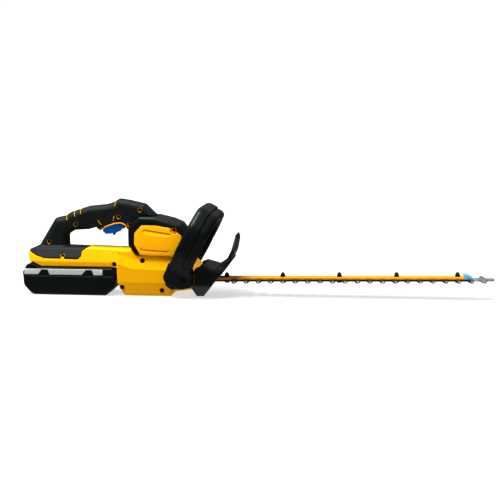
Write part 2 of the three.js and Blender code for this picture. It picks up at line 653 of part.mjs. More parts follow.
const BAR_LOW = SPLIT + BLADE_THICK + GAP;
const BAR_TOP = BAR_LOW + BAR_THICK;
const boltHole = (x) => rodZ(x, 0, BOLT_RADIUS + 0.2, -20, 40, 8);
drive.add(node('blade_support_bar', cut(
  box([88, -BAR_HALF, BAR_LOW], [BAR_END_X, BAR_HALF, BAR_TOP]), ...BOLT_XS.map(boltHole),
), BAR_YELLOW));

// A wedge clamped on the end of the bar, standing a little above it.
const wedge = [[GAP, BAR_LOW], [GAP, BAR_TOP + 7], [5, BAR_TOP + 7], [21, BAR_LOW + 2], [21, BAR_LOW]];
drive.add(node('bar_tip_block', across(shifted(wedge, BAR_END_X), -BAR_HALF, BAR_HALF, 0.6), SILVER));

const HEAD_TOP = -SPLIT - BLADE_THICK - GAP;
BOLT_XS.forEach((x, i) => {
  const bolt = join(
    rodZ(x, 0, 6, HEAD_TOP - 3.4, HEAD_TOP, 6),
    rodZ(x, 0, BOLT_RADIUS, HEAD_TOP - 1, BAR_TOP + 3, 8),
  );
  const domed = join(
    rodZ(x, 0, 6, BAR_TOP + GAP, BAR_TOP + 4.5, 6),
    rodZ(x, 0, 5, BAR_TOP + 4, BAR_TOP + 8, 10, 4),
    rodZ(x, 0, 4, BAR_TOP + 7.9, BAR_TOP + 10.3, 10, 1.5),
  );
  const nut = cut(domed, rodZ(x, 0, BOLT_RADIUS + 0.3, BAR_TOP - 1, BAR_TOP + 3.6, 8));
  drive.add(node(`blade_bolt_${i + 1}`, bolt, DARK_STEEL), node(`blade_nut_${i + 1}`, nut, DARK_STEEL));
});

// ---------- Battery ----------

const CASE_SPLIT_Z = 45;
const batteryForm = (depth) => fullForm(BATTERY, BATTERY_HALF, 3, depth);
const badge = (margin, low, high) => across(inset(BADGE, -margin), low, high);
const latchRoom = (margin) => (
  box([-290 - margin, -12 - margin, 56 - margin], [-272 + margin, 12 + margin, 80])
);

const batteryShell = cut(
  batteryForm(0), cut(batteryForm(WALL), latchRoom(WALL + 1)),
  badge(GAP, BATTERY_HALF - 1.2, FAR), badge(GAP, -FAR, -BATTERY_HALF + 1.2), latchRoom(GAP),
);
const rails = join(
  box([-268, -24.8, 61.5], [-100, 24.8, 69.5]),
  box([-268, -31, 69], [-100, 31, 74]),
);
const belowSplit = box([-FAR, -FAR, -FAR], [FAR, FAR, CASE_SPLIT_Z]);
const aboveSplit = box([-FAR, -FAR, CASE_SPLIT_Z + GAP], [FAR, FAR, FAR]);
const terminalSlots = [-15, -5, 5, 15].map((y) => box([-112, y - 1.2, 58], [-99, y + 1.2, FAR]));
trimmer.add(
  node('battery_case_lower', batteryShell.intersect(belowSplit), BLACK),
  node('battery_case_upper', cut(
    join(batteryShell.intersect(aboveSplit), rails), latchRoom(GAP), ...terminalSlots,
  ), BLACK),
  node('battery_badge_right', badge(0, -BATTERY_HALF - 0.3, -BATTERY_HALF + 0.9), SILVER),
  node('battery_badge_left', badge(0, BATTERY_HALF - 0.9, BATTERY_HALF + 0.3), SILVER),
);

const CELL = { radius: 10.4, pitch: 21.6, rows: [15, 37], first: -262 };
const cells = CELL.rows.flatMap((z, row) => Array.from({ length: 7 }, (_, i) => (
  rodY(CELL.first + row * CELL.pitch / 2 + CELL.radius + i * CELL.pitch, z, CELL.radius, -34, 34, 8)
)));
const holder = box([-262, -2, 6], [-100, 2, 50]);
const latchOutline = [[-289.5, 57], [-286.5, 66], [-282, 71.5], [-277, 70.5], [-277, 57]];
trimmer.add(
  node('battery_cells', join(holder, ...cells), GREEN_BOARD),
  node('battery_latch', across(latchOutline, -11, 11, 1.5), SOFT_BLACK),
);

// ---------- Electronics ----------

const contactSlots = [-10, 0, 10].map((y) => box([-100, y - 1.5, 72], [-92, y + 1.5, 80]));
trimmer.add(
  node('terminal_block', cut(box([-98.6, -22, 69], [-87, 22, 74]), ...contactSlots), BLACK),
  node('controller_board', join(
    box([-46, -28, 6], [18, 28, 8]), box([-40, -20, 7.5], [-22, 20, 19]), box([-10, -16, 7.5], [10, 16, 13]),
  ), GREEN_BOARD),
);

export default trimmer;
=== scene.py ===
"""Looks of a cordless hedge trimmer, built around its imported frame.

Shapes are in millimetres until a piece is made. +X runs to the blade tip, +Y to the tool's left, +Z up.
The moulded pieces are level sets: a distance for every point of a grid, and the skin where it is zero.
"""

import json
import math

import bpy
import bmesh
import numpy as np
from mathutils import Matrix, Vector


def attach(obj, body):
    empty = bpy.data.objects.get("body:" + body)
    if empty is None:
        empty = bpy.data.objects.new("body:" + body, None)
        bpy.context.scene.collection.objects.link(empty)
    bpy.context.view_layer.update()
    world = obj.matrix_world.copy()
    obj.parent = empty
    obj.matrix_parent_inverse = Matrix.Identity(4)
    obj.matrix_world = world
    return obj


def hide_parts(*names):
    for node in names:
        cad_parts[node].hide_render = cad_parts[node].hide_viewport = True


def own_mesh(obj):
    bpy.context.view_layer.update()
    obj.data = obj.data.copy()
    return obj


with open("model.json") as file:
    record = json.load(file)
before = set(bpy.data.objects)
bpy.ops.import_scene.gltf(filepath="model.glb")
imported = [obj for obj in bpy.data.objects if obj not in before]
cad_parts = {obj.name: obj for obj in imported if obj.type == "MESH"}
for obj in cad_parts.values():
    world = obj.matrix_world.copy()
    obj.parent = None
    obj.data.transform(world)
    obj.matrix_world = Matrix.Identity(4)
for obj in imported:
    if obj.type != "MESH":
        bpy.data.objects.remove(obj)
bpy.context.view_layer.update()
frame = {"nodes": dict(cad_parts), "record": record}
nodes = frame["nodes"]

MM = 0.001
GRID = 1.0  # millimetres between the sample points of a level set
SEAM = 0.2  # each half of a moulding stops this far from the middle plane

# ---------- Sizes shared with the frame ----------

GRIP_HALF = 18
DECK_HALF = 38
BODY_HALF = 42
SHROUD_HALF = 45
BATTERY_HALF = 41
FOOT_HALF = 60
GUARD_HALF = 62
SKIN = 2.7  # thickness of the soft overmould, the shrouds and the covers
CORE = 3.0  # depth of the moulding under the overmould
WALL = 2.6  # thickness of the housing under that, and of the battery's case
FIT = 0.3  # gap between neighbouring mouldings
SEAM_EDGE = 0.5  # rounding of a moulding's edge at the middle plane
FAR = 400  # further out than any piece, for cuts that run right through

HANDLE_LEAN = math.radians(27.5)
HANDLE_FOOT = (58, 27)
HANDLE_DEPTH = 26  # half of the loop's depth, front to back

# Side outlines, as corners (x, z, corner radius).
DECK = [
    (-68, 65.5), (-68, 107), (-145, 110), (-190, 112), (-264, 111), (-280, 104, 6), (-280, 91),
    (-276, 78.5, 6), (-250, 65.5, 8),
]
BODY = [
    (-72, 62), (-72, 29, 8), (-56, 0, 7), (52, 0, 7), (64, 12, 8), (118, 20, 7), (126, 28, 7),
    (126, 58, 8), (106, 82, 8), (95, 97, 7), (-40, 107), (-72, 107),
]
SHROUD = [
    (-43, 118, 8), (-43, 152, 8), (-35, 169, 9), (-17, 184, 9), (18, 183, 12), (52, 175, 10),
    (74, 166, 10), (88, 146, 10), (92, 118, 8), (86, 93.5), (60, 94.5), (-26, 96),
]
COVER = [
    (-29, 121, 5), (-28, 147, 5), (-11, 165, 5), (20, 165), (60, 158.5, 5), (81, 142, 5), (82, 122),
    (68, 94), (-15, 96.5, 5),
]
PAD = [
    (-300, 101), (-279, 100), (-261, 91), (-242, 85.5), (-163, 83.5, 3), (-155, 91, 3),
    (-154, 102, 3), (-141, 111), (-141, 130), (-300, 130),
]
GRIP = [
    (-263, 98), (-263, 108), (-221, 176, 12), (-198, 181), (-183, 190), (-141, 204), (-100, 208.5),
    (-81, 214), (-70, 222, 9), (-48, 219), (-9, 210.5, 9), (22, 181), (10, 160), (-30, 150),
    (-117, 146.5), (-125, 155), (-143, 150), (-176, 148, 10), (-191, 139, 9), (-191, 98),
]
MOUTH = [
    (-116, 138), (-116, 146.5), (-98, 157, 10), (-78, 164, 10), (-64, 165, 5), (-55, 160, 4),
    (-50.5, 151), (-50.5, 138),
]
TRIGGER = [
    (-111, 147, 3), (-105, 138.5, 4), (-89, 140), (-79, 144), (-58, 154, 3), (-59, 165, 3),
    (-84, 166), (-104, 160, 3),
]
TRIGGER_ROOM = [(-116, 130), (-116, 166), (-104, 178), (-60, 178), (-52, 170), (-50.5, 130)]
TRIGGER_SLOT = [(-95, 130), (-95, 145), (-85, 156.5), (-65, 156.5), (-60, 148), (-60, 130)]
BATTERY = [
    (-250, 64.3), (-272, 74.8), (-284, 69.5), (-295, 52, 10), (-292.5, 22, 14), (-271, 0, 18),
    (-98, 0, 8), (-89, 9), (-77, 19, 6), (-74.5, 34), (-74.5, 57, 6), (-81, 64.3, 4),
]
BADGE = [
    (-288, 61), (-289, 48), (-256, 48), (-247, 59.5), (-233, 59.5), (-229, 48), (-153, 48),
    (-143, 59.5), (-129, 59.5), (-125, 48), (-104, 48), (-104, 61),
]
GUARD_HOOD = [
    (103, 26), (111, 0), (127, 0), (165, 49), (193, 86), (178, 82), (157, 67), (128, 76, 5),
    (115, 71), (108, 60, 5), (112, 53), (112, 34),
]
GUARD_SHIELD = [
    (158, 40), (190, 82), (199.5, 106), (205.5, 133), (203, 147, 2), (200.5, 134), (194.5, 109),
    (184, 88), (152, 48),
]

# Front outlines, as corners (y, z, corner radius).
HOOD_FRONT = [(-20, 0), (-62, 32), (-62, 60), (-44, 95), (44, 95), (62, 60), (62, 32), (20, 0)]
SHIELD_FRONT = [
    (-52, 38, 4), (-52, 84, 14), (-44, 112, 20), (-24, 148, 14), (24, 148, 14), (44, 112, 20),
    (52, 84, 14), (52, 38, 4),
]

# The front handle, in its own leaning frame.
LOOP_OUTSIDE = [(60, 8), (61, 30, 30), (98, 84, 50), (98, 150, 40), (68, 196, 34)]
LOOP_INSIDE = [(44.8, 8), (45, 38, 20), (71, 88, 40), (71, 142, 24), (52, 168, 18)]
FOOT = [(-26, 44), (-23, 14, 8), (-13, -3, 6), (3, -6, 6), (41, 19, 6), (43, 27, 6), (26, 58)]
FOOT_SCREW = (18, 30)
FOOT_TOP = 60

# Housing screws as (x, z, half width of the surface they sink into, collar through the overmould).
PAD_SCREW = (-199, 92)
COVER_SCREW = (64, 155)
SCREWS = [
    (-77, 73, DECK_HALF, False), (-11, 83, BODY_HALF, False),
    (-60, 20, BODY_HALF, False), (33, 14, BODY_HALF, False),
    (*PAD_SCREW, DECK_HALF, True), (-235, 121, GRIP_HALF, True), (-171.5, 162, GRIP_HALF, True),
    (-70, 181, GRIP_HALF, True), (-20, 197, GRIP_HALF, True), (-45, 163, GRIP_HALF, True),
    (*COVER_SCREW, SHROUD_HALF, True),
]
SCREW_SINK = 5  # from the side's widest point to the head's outer face
SCREW_SEAT = 3.4  # from there to the bottom of the hole
COLLAR_BORE = 4.4
PLAIN_BORE = 5.6
SCREW_BOSS = 5.2
BOSS_LENGTH = 6
BOSS_TOP = 0.4  # from the side's widest point to the boss's outer face
BOSS_ROOM = 0.5  # clearance of the overmould round a boss
BOSS_TAB = (3.6, 6)  # half width and half height of the tab from the pad's boss down to the deck

# ---------- Level sets ----------


EDGE_SHARE = 0.48  # most of an edge that one corner's curve may use
TINY = 1e-9  # square millimetres: edges shorter than this are skipped


def rounded(corners, steps=6):
    """The points of an outline; a corner with a radius is a curve tangent to its two edges."""
    points = []
    for i, (u, v, *radius) in enumerate(corners):
        corner = Vector((u, v))
        if not radius:
            points.append(corner)
            continue
        back = Vector(corners[i - 1][:2]) - corner
        ahead = Vector(corners[(i + 1) % len(corners)][:2]) - corner
        longest = EDGE_SHARE * min(back.length, ahead.length)
        reach = min(radius[0] / math.tan(back.angle(ahead) / 2), longest)
        start = corner + back.normalized() * reach
        end = corner + ahead.normalized() * reach
        for share in np.linspace(0, 1, steps + 1):
            points.append(start.lerp(corner, share).lerp(corner.lerp(end, share), share))
    return np.array(points)


def outline(corners, u, v):
    """Distance of each point (u, v) to an outline, negative inside it."""
    points = rounded(corners)
    nearest = np.full(np.broadcast(u, v).shape, np.inf)
    inside = np.zeros(nearest.shape, bool)
    for (au, av), (bu, bv) in zip(points, np.roll(points, -1, axis=0)):
        du, dv = bu - au, bv - av
        if du * du + dv * dv < TINY:
            continue
        share = np.clip(((u - au) * du + (v - av) * dv) / (du * du + dv * dv), 0, 1)
        nearest = np.minimum(nearest, (u - au - share * du) ** 2 + (v - av - share * dv) ** 2)
        if dv:
            inside ^= ((av > v) != (bv > v)) & (u < du * (v - av) / dv + au)
    return np.where(inside, -1, 1) * np.sqrt(nearest)


class Space:
    """A box of sample points, with x, y and z ready to broadcast."""

    def __init__(self, low, high, step=GRID):
        margin = 2 * step
        self.step = step
        self.low = np.array(low, float) - margin
        counts = np.ceil((np.array(high) - self.low) / step).astype(int) + 3
        axes = [start + step * np.arange(count) for start, count in zip(self.low, counts)]
        self.x = axes[0][:, None, None]
        self.y = axes[1][None, :, None]
        self.z = axes[2][None, None, :]


def meet(a, b, radius=0.0):
    """What is inside both, with the edge between them rounded."""
    if not radius:
        return np.maximum(a, b)
    over = np.maximum(a + radius, 0), np.maximum(b + radius, 0)
    return np.minimum(np.maximum(a + radius, b + radius), 0) + np.hypot(*over) - radius


def join(a, b, radius=0.0):
    """What is inside either, with the inner corner between them filled smoothly."""
    if not radius:
        return np.minimum(a, b)
    return -meet(-a, -b, radius)


def cut(a, b, radius=0.0):
    """What is inside a and outside b."""
    return meet(a, -b, radius)


def pill(distance, across, half, run, rise):
    """An outline carried across to +-half, its edges rounded over `run` in its plane and `rise` across."""
    u = np.maximum(distance + run, 0) / run
    w = np.maximum(np.abs(across) - half + rise, 0) / rise
    flat = np.maximum(distance + run, np.abs(across) - half + rise)
    return np.where((u == 0) & (w == 0), flat - min(run, rise), (np.hypot(u, w) - 1) * min(run, rise))


def rod(space, x, z, radius):
    """A round bar across the tool."""
    return np.hypot(space.x - x, space.z - z) - radius


def slab(values, low, high):
    """What lies between two values of one coordinate."""
    return np.maximum(low - values, values - high)


def block(space, low, high, radius=0.0):
    """A box from its low corner to its high one."""
    spans = [slab(axis, a, b) for axis, a, b in zip((space.x, space.y, space.z), low, high)]
    return meet(meet(spans[0], spans[1], radius), spans[2], radius)


EDGES = [
    (a, b)
    for a in range(8)
    for b in range(a + 1, 8)
    if bin(a ^ b).count("1") == 1
]
CELL_CORNERS = np.array([[(n >> 2) & 1, (n >> 1) & 1, n & 1] for n in range(8)])


def skin(field, space):
    """Surface nets: a vertex in each cell that the surface passes through, a face over each crossed edge."""
    inside = field < 0
    shape = np.array(field.shape)
    count = sum(
        inside[i:shape[0] - 1 + i, j:shape[1] - 1 + j, k:shape[2] - 1 + k].astype(np.int8)
        for i, j, k in CELL_CORNERS
    )
    cells = np.argwhere((count > 0) & (count < 8))
    index = np.full(shape - 1, -1, np.int32)
    index[tuple(cells.T)] = np.arange(len(cells))
    values = np.stack([field[tuple((cells + corner).T)] for corner in CELL_CORNERS], 1)
    total = np.zeros((len(cells), 3))
    crossings = np.zeros(len(cells))
    for a, b in EDGES:
        crosses = (values[:, a] < 0) != (values[:, b] < 0)
        share = np.where(crosses, values[:, a] / np.where(crosses, values[:, a] - values[:, b], 1), 0)
        step = CELL_CORNERS[b] - CELL_CORNERS[a]
        total += crosses[:, None] * (CELL_CORNERS[a] + share[:, None] * step)
        crossings += crosses
    points = space.low + space.step * (cells + total / crossings[:, None])

    faces = []
    for axis in range(3):
        u, v = (axis + 1) % 3, (axis + 2) % 3
        here = [slice(1, n - 1) for n in shape]
        here[axis] = slice(0, shape[axis] - 1)
        there = list(here)
        there[axis] = slice(1, shape[axis])
        start, end = inside[tuple(here)], inside[tuple(there)]
        edges = np.argwhere(start != end)
        outward = start[start != end]
        edges[:, [u, v]] += 1
        corners = []
        for du, dv in ((-1, -1), (0, -1), (0, 0), (-1, 0)):
            cell = edges.copy()
            cell[:, u] += du
            cell[:, v] += dv
            corners.append(index[tuple(cell.T)])
        quads = np.stack(corners, 1)
        quads[~outward] = quads[~outward, ::-1]
        faces.append(quads)
    return points, np.concatenate(faces)


# ---------- Making pieces ----------


def mesh_of(name, points, quads):
    """A smooth mesh from points in millimetres and faces with four corners."""
    mesh = bpy.data.meshes.new(name)
    mesh.vertices.add(len(points))
    mesh.vertices.foreach_set("co", (np.asarray(points) * MM).astype(np.float32).ravel())
    mesh.loops.add(4 * len(quads))
    mesh.loops.foreach_set("vertex_index", quads.astype(np.int32).ravel())
    mesh.polygons.add(len(quads))
    mesh.polygons.foreach_set("loop_start", np.arange(0, 4 * len(quads), 4, dtype=np.int32))
    mesh.polygons.foreach_set("use_smooth", np.ones(len(quads), bool))
    mesh.update(calc_edges=True)
    mesh.validate()
    return mesh


def add_object(name, data):
    made = bpy.data.objects.new(name, data)
    bpy.context.scene.collection.objects.link(made)
    return made


def place(name, mesh, body, material, stands_for=()):
    """A mesh as a piece that rides on a body and takes the place of CAD nodes."""
    piece = add_object(name, mesh)
    mesh.materials.append(material)
    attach(piece, body)
    if stands_for:
        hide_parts(*stands_for)
    return piece


def mould(name, field, space, body, material, stands_for=(), turn=None):
    """The skin of a level set as a piece; `turn` carries it from its own frame to the tool's."""
    points, quads = skin(field, space)
    if turn is not None:
        points = turn(points)
    return place(name, mesh_of(name, points, quads), body, material, stands_for)


# ---------- Materials ----------


MIX_COLOR_INPUTS = (0, 6, 7)  # a Mix node's factor and its two colours
MIX_COLOR_OUTPUT = 2


class Nodes:
    """Adds nodes to a material or a world and joins them."""

    def __init__(self, owner):
        owner.use_nodes = True
        self.owner = owner
        self.tree = owner.node_tree
        self.shader = self.tree.nodes.get("Principled BSDF")

    def feed(self, socket, value):
        """Sets a socket, or links it if the value is another node's output."""
        if isinstance(value, bpy.types.NodeSocket):
            self.tree.links.new(value, socket)
        else:
            socket.default_value = value

    def add(self, kind, values=(), **settings):
        made = self.tree.nodes.new(kind)
        for key, value in settings.items():
            setattr(made, key, value)
        for key, value in dict(values).items():
            self.feed(made.inputs[key], value)
        return made

    def noise(self, scale, detail=3.0, roughness=0.5, stretch=(1, 1, 1)):
        spot = self.add("ShaderNodeTexCoord").outputs["Object"]
        mapping = self.add("ShaderNodeMapping", {"Vector": spot, "Scale": stretch})
        values = {"Vector": mapping.outputs[0], "Scale": scale, "Detail": detail, "Roughness": roughness}
        return self.add("ShaderNodeTexNoise", values).outputs["Fac"]

    def cells(self, scale):
        spot = self.add("ShaderNodeTexCoord").outputs["Object"]
        return self.add("ShaderNodeTexVoronoi", {"Vector": spot, "Scale": scale}).outputs["Distance"]

    def spread(self, value, low, high, into=(0, 1)):
        keys = {"Value": value, "From Min": low, "From Max": high, "To Min": into[0], "To Max": into[1]}
        return self.add("ShaderNodeMapRange", keys).outputs["Result"]

    def mix(self, amount, first, second):
        made = self.add("ShaderNodeMix", data_type="RGBA")
        for index, value in zip(MIX_COLOR_INPUTS, (amount, first, second)):
            self.feed(made.inputs[index], value)
        return made.outputs[MIX_COLOR_OUTPUT]

    def bump(self, height, strength, distance):
        values = {"Height": height, "Strength": strength, "Distance": distance}
        return self.add("ShaderNodeBump", values).outputs["Normal"]

    def finish(self, **sockets):
        for key, value in sockets.items():
            self.feed(self.shader.inputs[key.replace("_", " ")], value)
        return self.owner


def rgba(red, green, blue):
    return (red, green, blue, 1)


def plastic(name, color, shade, roughness, grain, mottle=14, gloss=0.5):
    """Moulded plastic: two close shades, a fine grain (size and depth in metres) and shinier patches."""
    grain_size, grain_depth = grain
    made = Nodes(bpy.data.materials.new(name))
    patches = made.noise(mottle, 4)
    pits = made.noise(1 / grain_size, 2, 0.6)
    base = made.mix(made.spread(patches, 0.35, 0.65), rgba(*color), rgba(*shade))
    rough = made.spread(patches, 0.3, 0.7, (roughness - 0.06, roughness + 0.07))
    normal = made.bump(pits, 0.35, grain_depth)
    return made.finish(Base_Color=base, Roughness=rough, Normal=normal, Specular_IOR_Level=gloss)


RUBBER_COLOR = rgba(0.0035, 0.007, 0.006)
RUBBER_SHADE = rgba(0.006, 0.011, 0.0095)
RUBBER_GLOSS = 0.32


def overmould(name):
    """Soft rubber: a pebbled skin over a fine grain."""
    made = Nodes(bpy.data.materials.new(name))
    pebbles = made.cells(520)
    grain = made.noise(1900, 2)
    patches = made.noise(22, 4)
    base = made.mix(made.spread(patches, 0.35, 0.7), RUBBER_COLOR, RUBBER_SHADE)
    rough = made.spread(grain, 0.3, 0.7, (0.5, 0.66))
    coarse = made.bump(pebbles, 0.55, 0.0005)
    fine = {"Height": grain, "Strength": 0.25, "Distance": 0.0002, "Normal": coarse}
    normal = made.add("ShaderNodeBump", fine).outputs["Normal"]
    return made.finish(Base_Color=base, Roughness=rough, Normal=normal, Specular_IOR_Level=RUBBER_GLOSS)


def metal(name, color, shade, roughness, brush=(1, 1, 1), scale=60, depth=0.00005, metallic=1.0):
    """Metal with fine tool marks drawn out along one direction."""
    made = Nodes(bpy.data.materials.new(name))
    marks = made.noise(scale, 6, 0.7, brush)
    base = made.mix(made.spread(marks, 0.35, 0.65), rgba(*color), rgba(*shade))
    rough = made.spread(marks, 0.3, 0.7, (roughness - 0.08, roughness + 0.1))
    normal = made.bump(marks, 0.4, depth)
    return made.finish(Base_Color=base, Roughness=rough, Normal=normal, Metallic=metallic)


STEEL_DARK = (rgba(0.05, 0.058, 0.058), rgba(0.09, 0.10, 0.10))
STEEL_GROUND = (rgba(0.42, 0.45, 0.45), rgba(0.6, 0.63, 0.63))
GROUND_EDGE = (0.033, 0.040)  # metres out from the blade's middle line
GROUND_END = (0.728, 0.736)  # metres along the tool


def blade_steel(name):
    """Dark blade steel, ground bright towards the tooth tips and at the bare end."""
    made = Nodes(bpy.data.materials.new(name))
    marks = made.noise(80, 6, 0.7, (14, 1, 1))
    spot = made.add("ShaderNodeTexCoord").outputs["Object"]
    along, across = made.add("ShaderNodeSeparateXYZ", {"Vector": spot}).outputs[:2]
    reach = made.add("ShaderNodeMath", {0: across}, operation="ABSOLUTE").outputs[0]
    edge, end = made.spread(reach, *GROUND_EDGE), made.spread(along, *GROUND_END)
    ground = made.add("ShaderNodeMath", {0: edge, 1: end}, operation="MAXIMUM").outputs[0]
    dark = made.mix(made.spread(marks, 0.35, 0.65), *STEEL_DARK)
    bright = made.mix(made.spread(marks, 0.35, 0.65), *STEEL_GROUND)
    base = made.mix(ground, dark, bright)
    rough = made.spread(marks, 0.3, 0.7, (0.28, 0.46))
    normal = made.bump(marks, 0.35, 0.00005)
    return made.finish(Base_Color=base, Roughness=rough, Normal=normal, Metallic=1.0)


BRIGHT_GLOSS = 0.12
BLACK_GLOSS = 0.25  # dark mouldings keep only faint reflections
BAR_GLOSS = 0.3

YELLOW = plastic(
    "yellow_plastic", (1.0, 0.53, 0.002), (0.98, 0.50, 0.001),
    roughness=0.45, grain=(0.0011, 0.00012), gloss=BRIGHT_GLOSS,
)
BLACK = plastic(
    "black_plastic", (0.002, 0.0045, 0.004), (0.0035, 0.0075, 0.0065),
    roughness=0.4, grain=(0.0009, 0.0002), gloss=BLACK_GLOSS,
)
BATTERY_BLACK = plastic(
    "battery_black", (0.002, 0.0025, 0.0025), (0.004, 0.005, 0.005),
    roughness=0.45, grain=(0.0012, 0.0002), gloss=BLACK_GLOSS,
)
BLUE = plastic(
    "blue_plastic", (0.0, 0.22, 1.0), (0.004, 0.25, 1.0),
    roughness=0.38, grain=(0.001, 0.0001), gloss=BRIGHT_GLOSS,
)
RUBBER = overmould("soft_black")
SILVER = metal("silver_badge", (0.74, 0.82, 0.80), (0.64, 0.72, 0.70), 0.36, (1, 1, 14), 90, metallic=0.3)
STEEL = metal("machined_steel", (0.36, 0.39, 0.39), (0.22, 0.24, 0.24), 0.34, (1, 12, 1), 70)
BLADE_STEEL = blade_steel("blade_steel")
DARK_STEEL = metal("dark_steel", (0.02, 0.02, 0.022), (0.035, 0.033, 0.034), 0.42)
BARE = metal("bare_aluminium", (0.58, 0.6, 0.61), (0.44, 0.46, 0.47), 0.42)
COPPER = metal("copper", (0.62, 0.3, 0.14), (0.48, 0.2, 0.08), 0.38, (1, 1, 20), 120)
# The bar's bevelled metal end: real metal, with a painted reflection of the sky as its pale blue base
# colour.
TIP_PAINTED_REFLECTION = metal("tip_block", (0.22, 0.58, 0.86), (0.30, 0.68, 0.95), 0.3, metallic=0.3)
BAR_PAINT = plastic(
    "bar_yellow", (0.74, 0.33, 0.01), (0.68, 0.28, 0.008),
    roughness=0.42, grain=(0.0016, 0.00006), mottle=9, gloss=BAR_GLOSS,
)
CELL_WRAP = plastic(
    "cell_wrap", (0.02, 0.24, 0.14), (0.03, 0.3, 0.18), roughness=0.35, grain=(0.002, 0.00005)
)
BOARD = plastic(
    "board_green", (0.02, 0.16, 0.06), (0.03, 0.2, 0.08), roughness=0.5, grain=(0.002, 0.0001), mottle=60
)

SLOT_MATERIALS = {
    "yellow_plastic": YELLOW,
    "soft_black": RUBBER,
    "black_plastic": BLACK,
    "blue_plastic": BLUE,
    "silver": SILVER,
    "steel": STEEL,
    "dark_steel": DARK_STEEL,
    "bar_yellow": BAR_PAINT,
    "bare_aluminium": BARE,
    "copper": COPPER,
    "cell_wrap": CELL_WRAP,
    "board_green": BOARD,
}

# ---------- Housing, overmould, shroud and covers ----------

# The crease along each side, where the housing is widest.
CREASE_X = (-283, -154, -83, -66, -34, 43, 130)
CREASE_Z = (79, 78, 78, 75, 64.5, 62, 60)
LEAN_SPAN = 30  # the leans are millimetres inwards over this height
DECK_LEAN_ABOVE = 7
DECK_LEAN_BELOW = 4.5
BODY_LEAN_BELOW = 3
FACET_LEAN = 9  # the body's upper facet leans in by this over FACET_SPAN
FACET_SPAN = 45
FACET_HEIGHT = 22
KEEL_TOP = 32  # below this height the body draws in further
KEEL_LEAN = 5

GRIP_ROUNDING = 15
DECK_ROUNDING = 3.2
BODY_ROUNDING = 6
SHROUD_ROUNDING = (11, 6.5)  # in the side view, and across
SHROUD_SUNK = 0.6


def crease(x):
    return np.interp(x, CREASE_X, CREASE_Z)


def deck_half(x, z):
    """Half width of the deck: widest at the crease, leaning in above and below it."""
    above = (z - crease(x)) / LEAN_SPAN
    return DECK_HALF - np.where(above > 0, DECK_LEAN_ABOVE * above, -DECK_LEAN_BELOW * above)


def body_half(x, z):
    """Half width of the body: a facet above the crease, a slight lean below it and a keel."""
    fold = crease(x)
    above = np.clip(z - fold, 0, FACET_HEIGHT) / FACET_SPAN
    below = np.maximum(fold - z, 0) / LEAN_SPAN
    keel = np.maximum(KEEL_TOP - z, 0) / KEEL_TOP
    return BODY_HALF - FACET_LEAN * above - BODY_LEAN_BELOW * below - KEEL_LEAN * keel


def side_form(space, corners, half, run, rise, depth=0.0):
    """A side outline carried across the tool, or the same form a depth further in."""
    return pill(outline(corners, space.x, space.z) + depth, space.y, half - depth, run, rise)


def grip_form(space, depth=0.0):
    edge = GRIP_ROUNDING - depth
    return side_form(space, GRIP, GRIP_HALF, edge, edge, depth)


def deck_form(space):
    return side_form(space, DECK, deck_half(space.x, space.z), DECK_ROUNDING, DECK_ROUNDING)


def shroud_form(space, depth=0.0):
    run, rise = SHROUD_ROUNDING
    return side_form(space, SHROUD, SHROUD_HALF - SHROUD_SUNK, run - depth, rise - depth, depth)


def body_form(space):
    return side_form(space, BODY, body_half(space.x, space.z), BODY_ROUNDING, BODY_ROUNDING)


PAD_INSET = 1.2  # from the deck's half width
PAD_LEAN = 0.55  # inwards for each millimetre above PAD_LEAN_FROM
PAD_LEAN_FROM = 87
PAD_BACK_X = -262  # behind this the pad narrows by PAD_BACK_IN over PAD_BACK_RUN
PAD_BACK_RUN = 18
PAD_BACK_IN = 4
PAD_TOP = 111.5
PAD_FLAT = 17  # half width of its level top
PAD_FALL = 0.4  # down for each millimetre further out
PAD_FALL_COS = 0.93
PAD_ROUNDING = 3
PAD_TOP_ROUNDING = 2


def pad_form(space):
    """The base pad: its sides lean in and its top slopes down from the grip's foot."""
    lean = np.maximum(space.z - PAD_LEAN_FROM, 0) * PAD_LEAN
    back = np.clip((PAD_BACK_X - space.x) / PAD_BACK_RUN, 0, 1)
    half = DECK_HALF - PAD_INSET - lean - PAD_BACK_IN * back
    fall = PAD_FALL * np.maximum(np.abs(space.y) - PAD_FLAT, 0)
    sides = pill(outline(DECK, space.x, space.z), space.y, half, PAD_ROUNDING, PAD_ROUNDING)
    return meet(sides, (space.z - PAD_TOP + fall) * PAD_FALL_COS, PAD_TOP_ROUNDING)


# Slits in the grip's skin as (x, z, lean, length), where the yellow moulding shows through.
SLITS = [
    (-193.5, 178, 0.25, 15), (-174.5, 187.5, 0.2, 17), (-160.5, 193.5, 0.1, 16), (-78, 210, -0.35, 11),
    (-115, 167, 0.6, 15), (-82, 177, -0.25, 14),
]
SLIT_HALF = 1
SLIT_BOW = 1.6


def slit_form(space):
    """Thin bowed slots near the grip's top, and two of them above the trigger."""
    slots = np.full(np.broadcast(space.x, space.z).shape, np.inf)
    for x, z, lean, length in SLITS:
        along = (space.z - z) * math.cos(lean) - (space.x - x) * math.sin(lean)
        over = (space.x - x) * math.cos(lean) + (space.z - z) * math.sin(lean)
        bow = over - SLIT_BOW * (2 * along / length) ** 2
        slots = np.minimum(slots, np.maximum(np.abs(bow) - SLIT_HALF, np.abs(along) - length / 2))
    return slots


